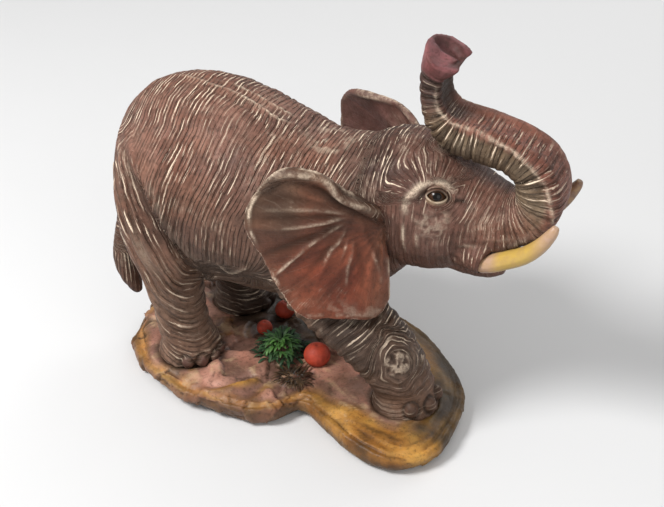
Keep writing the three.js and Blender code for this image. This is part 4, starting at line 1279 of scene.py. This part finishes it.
class Rock:
    """The base's points, and what its relief and its paint share."""

    def __init__(self, look):
        self.look = look
        grain = look.grain / MM
        self.mesh, self.points, self.normals = smooth_copy("rocky_base", grain, 6, "rocky_base_skin")
        points = self.points
        x, y, _ = points.T
        self.inside = rim_distance(points, rim_of("rocky_base"))
        self.feet = np.min([np.hypot(x - a, y - b) for (a, b), *_ in FEET], axis=0)
        self.front = smoothstep(-2, 26, x)
        self.tilt, edge = stone_facets(points, 13.0, 4)
        self.small_tilt, small_edge = stone_facets(points, 5.5, 14)
        self.crack = smoothstep(1.5, 0.0, edge) * smoothstep(-0.1, 0.2, layered_noise(points / 18, 2, 41))
        self.chip = smoothstep(0.9, 0.0, small_edge) * smoothstep(0.1, 0.4, layered_noise(points / 14, 2, 43))
        self.bend = self.inside + 4 * layered_noise(points / 16, 2, 35)
        self.swirl = layered_noise(np.stack([self.bend / 4.4, x / 34, y / 34], axis=1), 3, 33)
        self.strokes = layered_noise(np.stack([self.bend / 1.9, x / 13, y / 13], axis=1), 3, 37)
        self.rough = layered_noise(points / 5, 3, 12)
        self.gilt = np.zeros(len(points))

    def shape(self):
        """Chips and cracks the rear lobe, swirls the front one and bevels the rim."""
        points, normals, front, z = self.points, self.normals, self.front, self.points[:, 2]
        top = smoothstep(0.3, 0.8, normals[:, 2])
        chips = 1.2 * np.clip(self.tilt, -1.3, 1.3) + 0.5 * np.clip(self.small_tilt, -1.4, 1.4)
        rise = chips * (1 - 0.75 * front) + 0.3 * self.rough
        rise -= (0.9 * self.crack + 0.35 * self.chip) * (1 - front)
        rise += (0.8 * self.swirl + 0.35 * self.strokes) * (1 - smoothstep(8, 26, self.inside)) * front
        rise -= 2.2 * smoothstep(15, 0, self.inside) * top
        for path, width, height, gold in BASE_RIDGES:
            mark = bell(along_path(points, fine_path(path, 4))[1], width)
            rise += height * mark
            self.gilt = np.maximum(self.gilt, gold * mark)
        free = smoothstep(SOLE_REACH, SOLE_REACH + 6, self.feet)
        rise *= smoothstep(0.6, 2.5, z) * (0.15 + 0.85 * free)
        self.places = points
        self.points = points + normals * rise[:, None]
        self.points[:, 2] = np.maximum(self.points[:, 2], z.min())
        write_points(self.mesh, self.points)
        self.top, self.normals = top, read_normals(self.mesh)

    def paint(self):
        """Paints the ground mauve-brown and the rim ochre, and washes the cracks and the shaded parts."""
        look, points, front, inside = self.look, self.points, self.front, self.inside
        x, y, z = self.places.T
        top, swirl, strokes, upward = self.top, self.swirl, self.strokes, self.normals[:, 2]
        band = 6 + 2 * front + 10.5 * smoothstep(26, 44, x) - 7 * smoothstep(66, 78, x)
        band = band + 5 * layered_noise(points / 14, 2, 51)
        ochre = np.maximum.reduce([
            smoothstep(band + 3, band - 4, inside) * mix(0.8, 1.0, front),
            self.gilt,
            0.75 * smoothstep(0.3, 0.6, layered_noise(points / 12, 2, 63)) * (1 - front),
            smoothstep(70, 78, x),
        ])
        ochre = ochre * (1 - 0.6 * smoothstep(0.7, 0.3, upward) * (1 - front))
        glaze = smoothstep(-0.55, 0.25, swirl + 0.35 * layered_noise(points / 20, 2, 77))
        gold = lay_coats(np.array(look.glaze), [(look.rim, glaze)])
        ground = np.array(look.top) * (0.85 + 0.45 * np.clip(self.tilt, -0.8, 0.8))[:, None]
        plant = clump("leafy_plant")[0]
        # painted shade on the base's far side and at its front end
        shaded_sides = 0.75 * smoothstep(-6, 36, y) + 0.84 * smoothstep(58, 76, x) * smoothstep(-58, -40, y)
        wash = np.maximum.reduce([
            np.maximum(0.85 * self.crack, 0.6 * self.chip) * (1 - front),
            # painted shade on the ground between the plant and the near foreleg
            0.5 * smoothstep(20, 8, np.hypot((x - 28) / 1.2, y + 30)),
            0.4 * bell(inside - band, 2.2) * top,
            # painted shadow under the belly
            0.93 * smoothstep(44, 20, np.hypot((x + 15) / 1.3, y - 24)),
            shaded_sides,
            # painted shadow round each foot
            0.8 * smoothstep(SOLE_REACH + 5, SOLE_REACH - 1, self.feet),
            0.62 * smoothstep(mix(13.5, 9.0, front), mix(8.0, 4.0, front), z),
            # painted shadow round the plant
            0.5 * smoothstep(26, 12, np.hypot(x - plant.x, y - plant.y)),
            0.6 * smoothstep(-0.05, -0.5, 0.6 * (swirl + strokes)) * front * smoothstep(26, 12, inside),
        ])
        wash = np.clip(wash + 0.22 * layered_noise(points / 7, 3, 71), 0, 0.93)
        ridge = smoothstep(0.15, 0.5, 0.5 * swirl + strokes) * front
        ridge = ridge + smoothstep(0.5, 1.2, self.small_tilt) * (1 - front)
        dry = smoothstep(0.1, 0.9, upward) * (0.3 + 0.4 * self.rough) * (1 - 0.9 * shaded_sides)
        set_layers(
            self.mesh,
            grain=np.stack([inside / 2.4, x / 12, y / 12 + z / 3], axis=1),
            tone=mix(ground, gold, ochre[:, None]),
            lines=0.8 * self.bend + 6 * layered_noise(points / 15, 3, 19),
            wash=wash,
            dry=np.clip(dry, 0, 1),
            carve=np.full(len(points), 0.08),
            streak=np.clip(0.55 * ridge * (0.3 + 0.7 * top) * (1 - wash), 0, 1),
        )


def rocky_base():
    """The base with chipped rock, swirled ochre round its rim and dark wash in its cracks."""
    rock = Rock(settings("elephant_base"))
    rock.shape()
    rock.paint()
    return rock.mesh


# Plant, grass and fruits

GROUND = 14.2  # where the plants stand above the floor
LEAF_STEPS, LEAF_LANES = 8, 4  # faces along and across a leaf

def leaf(start, turn, rise, size, width, droop, lift=0.35):
    """One leaf: a bent blade with a raised midrib, thick enough to be cast, with its points and faces."""
    points, faces = [], []
    cos, sin = math.cos(turn), math.sin(turn)
    for face in (1, -1):
        for i in range(LEAF_STEPS + 1):
            t = i / LEAF_STEPS
            half = width / 2 * math.sin(math.pi * min(0.98, t * 0.94 + 0.04)) ** 0.8
            out = size * t * math.cos(rise - droop * t)
            high = size * t * math.sin(rise - droop * t * 0.9)
            for j in range(LEAF_LANES + 1):
                w = 2 * j / LEAF_LANES - 1
                side = half * w
                fold = lift * half * abs(w) + face * 0.22 * (1 - w * w) * (1 - 0.6 * t)
                step = (out * cos - side * sin, out * sin + side * cos, high + fold)
                points.append(tuple(a + b for a, b in zip(start, step)))
    row = LEAF_LANES + 1
    back, last = (LEAF_STEPS + 1) * row, LEAF_STEPS * row
    for i in range(LEAF_STEPS):
        for a in range(i * row, i * row + LEAF_LANES):
            faces.append((a, a + row, a + row + 1, a + 1))
            faces.append((back + a, back + a + 1, back + a + row + 1, back + a + row))
    rim = [*range(0, last, row), *range(last, back), *range(last - 1, LEAF_LANES - 1, -row)]
    rim += range(LEAF_LANES - 1, 0, -1)
    for a, b in zip(rim, rim[1:] + rim[:1]):
        faces.append((a, b, back + b, back + a))
    return points, faces


def joined(name, parts, tones):
    """Many small blades as one mesh, each with its own two tones from root to tip."""
    points, faces, colours = [], [], []
    share = np.tile(np.repeat(np.linspace(0, 1, LEAF_STEPS + 1), LEAF_LANES + 1), 2)
    for (rows, quads), (root, tip) in zip(parts, tones):
        start = len(points)
        points += rows
        faces += [tuple(start + i for i in q) for q in quads]
        colours.append(lay_coats(root, [(tip, share)]))
    mesh = mesh_of(name, points, faces)
    set_layers(mesh, tone=np.concatenate(colours))
    with reworked(mesh) as work:
        bmesh.ops.recalc_face_normals(work, faces=work.faces)
    return mesh


def clump(node):
    """The middle of a node's box, half its width, and its height above the floor."""
    low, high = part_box(node)
    return (low + high) / 2 / MM, (high.x - low.x) / 2 / MM, high.z / MM


def leafy_plant():
    """A ragged mound of narrow leaves, dark outside and light green in a few bunches near its crown."""
    look = settings("elephant_growth")
    middle, reach, top = clump("leafy_plant")
    maker = np.random.default_rng(7)
    parts, tones = [], []
    dark, light = np.array(look.leaf), np.array(look.tip)
    for i in range(look.leaves):
        share = (i + 0.5) / look.leaves
        turn = maker.uniform(0, 2 * math.pi)
        out = reach * 0.92 * share**0.6 * maker.uniform(0.7, 1.15)
        size = maker.uniform(3.4, 7.0)
        high = GROUND + (top - GROUND - 3.5) * (1 - share**1.5) * maker.uniform(0.7, 1.0)
        rise = mix(1.2, 0.1, share) + maker.normal(0, 0.3)
        start = (middle.x + out * math.cos(turn), middle.y + out * math.sin(turn), high)
        parts.append(leaf(start, turn + maker.normal(0, 0.7), rise, size, size * 0.27, 0.8))
        bright = float(smoothstep(7.5, 2.0, math.hypot(start[0] - middle.x - 1, start[1] - middle.y + 4)))
        bright *= float(smoothstep(GROUND + 2, GROUND + 6, high)) * maker.uniform(0.4, 1.0)
        shade = maker.uniform(0.6, 1.5)
        tones.append((mix(dark * 0.6 * shade, light, 0.5 * bright), mix(dark * 1.9 * shade, light, bright)))
    return joined("leafy_plant_skin", parts, tones)


def grass_tuft():
    """A low spread of dry blades."""
    look = settings("elephant_growth")
    middle, reach, _ = clump("grass_tuft")
    maker = np.random.default_rng(11)
    parts, tones = [], []
    grass = np.array(look.grass)
    for _ in range(look.blades):
        turn = maker.uniform(0, 2 * math.pi)
        out = reach * maker.uniform(0.1, 0.8)
        start = (middle.x + 1.3 * out * math.cos(turn), middle.y + out * math.sin(turn), GROUND)
        size = maker.uniform(4.0, 8.5)
        rise = maker.uniform(0.12, 0.7)
        parts.append(leaf(start, turn + maker.normal(0, 0.6), rise, size, 1.0, 0.5, 0.2))
        shade = maker.uniform(0.5, 1.5)
        tones.append((grass * 0.5 * shade, grass * 1.8 * shade))
    return joined("grass_tuft_skin", parts, tones)


def fruit(node):
    """A round fruit with a dimple at its crown and darker sides near the ground."""
    mesh, points, normals = smooth_copy(node, 0.5, 10, f"{node}_skin")
    middle, radius, top = clump(node)
    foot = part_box(node)[0].z / MM
    dimple = bell(distance(points, (middle.x, middle.y, top)), 0.16 * radius)
    dents = layered_noise(points / (0.7 * radius), 3, 5)
    write_points(mesh, points + normals * (0.18 * dents - 0.7 * dimple)[:, None])
    shade = np.maximum(0.75 * smoothstep(top - radius, foot + 1, points[:, 2]), 0.4 * dimple)
    tone = np.array(settings("elephant_growth").fruit) * (1 - shade + 0.12 * dents)[:, None]
    set_layers(mesh, tone=np.clip(tone, 0, 1))
    return mesh


# Operators


class Step:
    """One step of the build, which the panel also offers by itself"""

    def execute(self, context):
        self.make()
        return {"FINISHED"}


class ELEPHANT_OT_skin(Step, bpy.types.Operator):
    """Makes the body, head, trunk, ears and tail in wrinkled and painted resin"""

    bl_idname = "elephant.skin"
    bl_label = "Skin"

    def make(self):
        look = settings("elephant_hide")
        skin = Skin(look)
        for work in (pleat_ears, shape_trunk, shape_toes, fold_skin, wrinkle, paint_skin):
            work(skin)
        paint = resin_paint("hide paint", tuple(look.fold), tuple(look.cream))
        ear_paint = resin_paint("ear paint", tuple(look.ear_fold), tuple(look.cream), vivid=0.7)
        for name, mesh in split_skin(skin):
            piece = new_object(f"painted_{name}", mesh, ear_paint if "ear" in name else paint)
            dress(piece, "ear" if "ear" in name else "hide", name)


class ELEPHANT_OT_eyes(Step, bpy.types.Operator):
    """Makes the glass eyes and their lids"""

    bl_idname = "elephant.eyes"
    bl_label = "Eyes"

    def make(self):
        hide = settings("elephant_hide")
        glass = eye_glass("eye glass")
        lid_paint = resin_paint("lid paint", tuple(hide.fold), tuple(hide.cream), depth=0.15)
        for side in ("right", "left"):
            ball = new_object(f"glass_{side}_eye", eye_ball(side), glass)
            dress(ball, "eye", f"{side}_eye")
            lids = new_object(f"{side}_eyelids", eye_lids(side), lid_paint)
            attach(lids, BODY)


class ELEPHANT_OT_tusks(Step, bpy.types.Operator):
    """Makes the two tusks"""

    bl_idname = "elephant.tusks"
    bl_label = "Tusks"

    def make(self):
        paint = satin_paint("ivory paint", (0.45, 0.27, 0.10))
        for side in ("right", "left"):
            dress(new_object(f"painted_{side}_tusk", tusk(side), paint), "ivory", f"{side}_tusk")


class ELEPHANT_OT_base(Step, bpy.types.Operator):
    """Makes the rocky base"""

    bl_idname = "elephant.base"
    bl_label = "Base"

    def make(self):
        look = settings("elephant_base")
        paint = resin_paint("rock paint", tuple(look.shade), tuple(look.light), 0.4, (0.3, 0.55), 0.55)
        dress(new_object("painted_rocky_base", rocky_base(), paint), "ground", "rocky_base")


class ELEPHANT_OT_growth(Step, bpy.types.Operator):
    """Makes the plant, the grass and the fruits"""

    bl_idname = "elephant.growth"
    bl_label = "Plants and Fruits"

    def make(self):
        green = satin_paint("leaf paint", (0.006, 0.02, 0.008), (0.5, 0.7), 0.2)
        straw = satin_paint("grass paint", (0.02, 0.012, 0.006))
        red = satin_paint("fruit paint", (0.20, 0.025, 0.012), (0.55, 0.72), 0.2)
        dress(new_object("painted_leafy_plant", leafy_plant(), green), "leaf", "leafy_plant")
        dress(new_object("painted_grass_tuft", grass_tuft(), straw), "grass", "grass_tuft")
        for node in ("fruit_large", "fruit_small", "fruit_shaded"):
            dress(new_object(f"painted_{node}", fruit(node), red), "fruit", node)


class ELEPHANT_OT_hidden(Step, bpy.types.Operator):
    """Gives the felt pad and the steel dowels their finishes"""

    bl_idname = "elephant.hidden"
    bl_label = "Felt and Dowels"

    def make(self):
        finishes = {"felt": felt_cloth("felt"), "steel": steel_rod("steel rod")}
        for row in frame["record"]["subparts"]:
            finish = finishes.get(row["material_slot"])
            if finish:
                materials = NODES[row["node"]].data.materials
                materials.clear()
                materials.append(finish)


CAMERA_TARGET = Vector((0.013, 0.0, 0.074))
LIGHTS = {  # place and size in metres, and power in watts
    "key": ((-0.55, -0.55, 0.95), 0.42, 12.5),
    "fill": ((0.75, -0.65, 0.55), 0.9, 2.6),
    "back": ((0.2, 0.9, 0.7), 0.8, 2.6),
}


class ELEPHANT_OT_stage(Step, bpy.types.Operator):
    """Sets the camera, the pale floor and the soft lights"""

    bl_idname = "elephant.stage"
    bl_label = "Stage"

    def make(self):
        look = settings("elephant_stage")
        bpy.context.scene.view_settings.view_transform = "Standard"
        add_camera(look)
        add_floor(look)
        for name, (place, size, power) in LIGHTS.items():
            add_light(name, place, size, power)
        world = bpy.data.worlds.new("studio")
        world.use_nodes = True
        sky = world.node_tree.nodes["Background"].inputs
        sky["Color"].default_value = (1, 1, 1, 1)
        sky["Strength"].default_value = 0.42
        bpy.context.scene.world = world


def add_camera(look):
    """The camera at the photograph's angle."""
    data = bpy.data.cameras.new("photo view")
    data.lens = look.lens
    data.sensor_width = 36
    data.clip_start = 0.05
    camera = bpy.data.objects.new("photo_view", data)
    bpy.context.scene.collection.objects.link(camera)
    turn, rise = math.radians(look.azimuth), math.radians(look.elevation)
    back = Vector((math.sin(turn) * math.cos(rise), -math.cos(turn) * math.cos(rise), math.sin(rise)))
    camera.location = CAMERA_TARGET + back * look.distance
    camera.rotation_euler = back.to_track_quat("Z", "Y").to_euler()
    bpy.context.scene.camera = camera


def add_floor(look):
    """A wide pale floor, a little mottled."""
    half = 1500.0
    rows = [(-half, -half, 0), (half, -half, 0), (half, half, 0), (-half, half, 0)]
    n = Nodes("pale floor")
    grain = n.noise(n.place(), 40.0)
    shade = n.blend(n.ramp(grain, 0.3, 0.7, 0.0, 0.03), tuple(look.floor), (0.8, 0.8, 0.8))
    paint = n.finish(shade, n.ramp(grain, 0.3, 0.7, 0.75, 0.85), n.bump(grain, 0.02 * MM))
    floor = new_object("floor", mesh_of("floor", rows, [(0, 1, 2, 3)]), paint)


def add_light(name, place, size, power):
    data = bpy.data.lights.new(name, "AREA")
    data.shape = "DISK"
    data.size = size
    data.energy = power
    light = bpy.data.objects.new(name, data)
    light.location = place
    light.rotation_euler = (Vector(place) - CAMERA_TARGET).to_track_quat("Z", "Y").to_euler()
    bpy.context.scene.collection.objects.link(light)


class ELEPHANT_PT_panel(bpy.types.Panel):
    """Lists the elephant's parts and their settings"""

    bl_idname = "ELEPHANT_PT_panel"
    bl_label = "Painted Resin Elephant"
    bl_space_type = "VIEW_3D"
    bl_region_type = "UI"
    bl_category = "Elephant"

    def draw(self, context):
        for operator in OPERATORS:
            self.layout.operator(operator.bl_idname)
        for name, group in SETTINGS.items():
            box = self.layout.box()
            box.label(text=group.__doc__)
            for key in group.__annotations__:
                box.prop(getattr(context.scene, name), key)


OPERATORS = (
    ELEPHANT_OT_stage,
    ELEPHANT_OT_skin,
    ELEPHANT_OT_eyes,
    ELEPHANT_OT_tusks,
    ELEPHANT_OT_base,
    ELEPHANT_OT_growth,
    ELEPHANT_OT_hidden,
)


def register():
    for group in (*SETTINGS.values(), *OPERATORS, ELEPHANT_PT_panel):
        bpy.utils.register_class(group)
    for name, group in SETTINGS.items():
        setattr(bpy.types.Scene, name, PointerProperty(type=group))


def unregister():
    for name in SETTINGS:
        delattr(bpy.types.Scene, name)
    for group in reversed((*SETTINGS.values(), *OPERATORS, ELEPHANT_PT_panel)):
        bpy.utils.unregister_class(group)


def main():
    register()
    for operator in OPERATORS:
        group, name = operator.bl_idname.split(".")
        getattr(getattr(bpy.ops, group), name)()


if __name__ == "__main__":
    main()
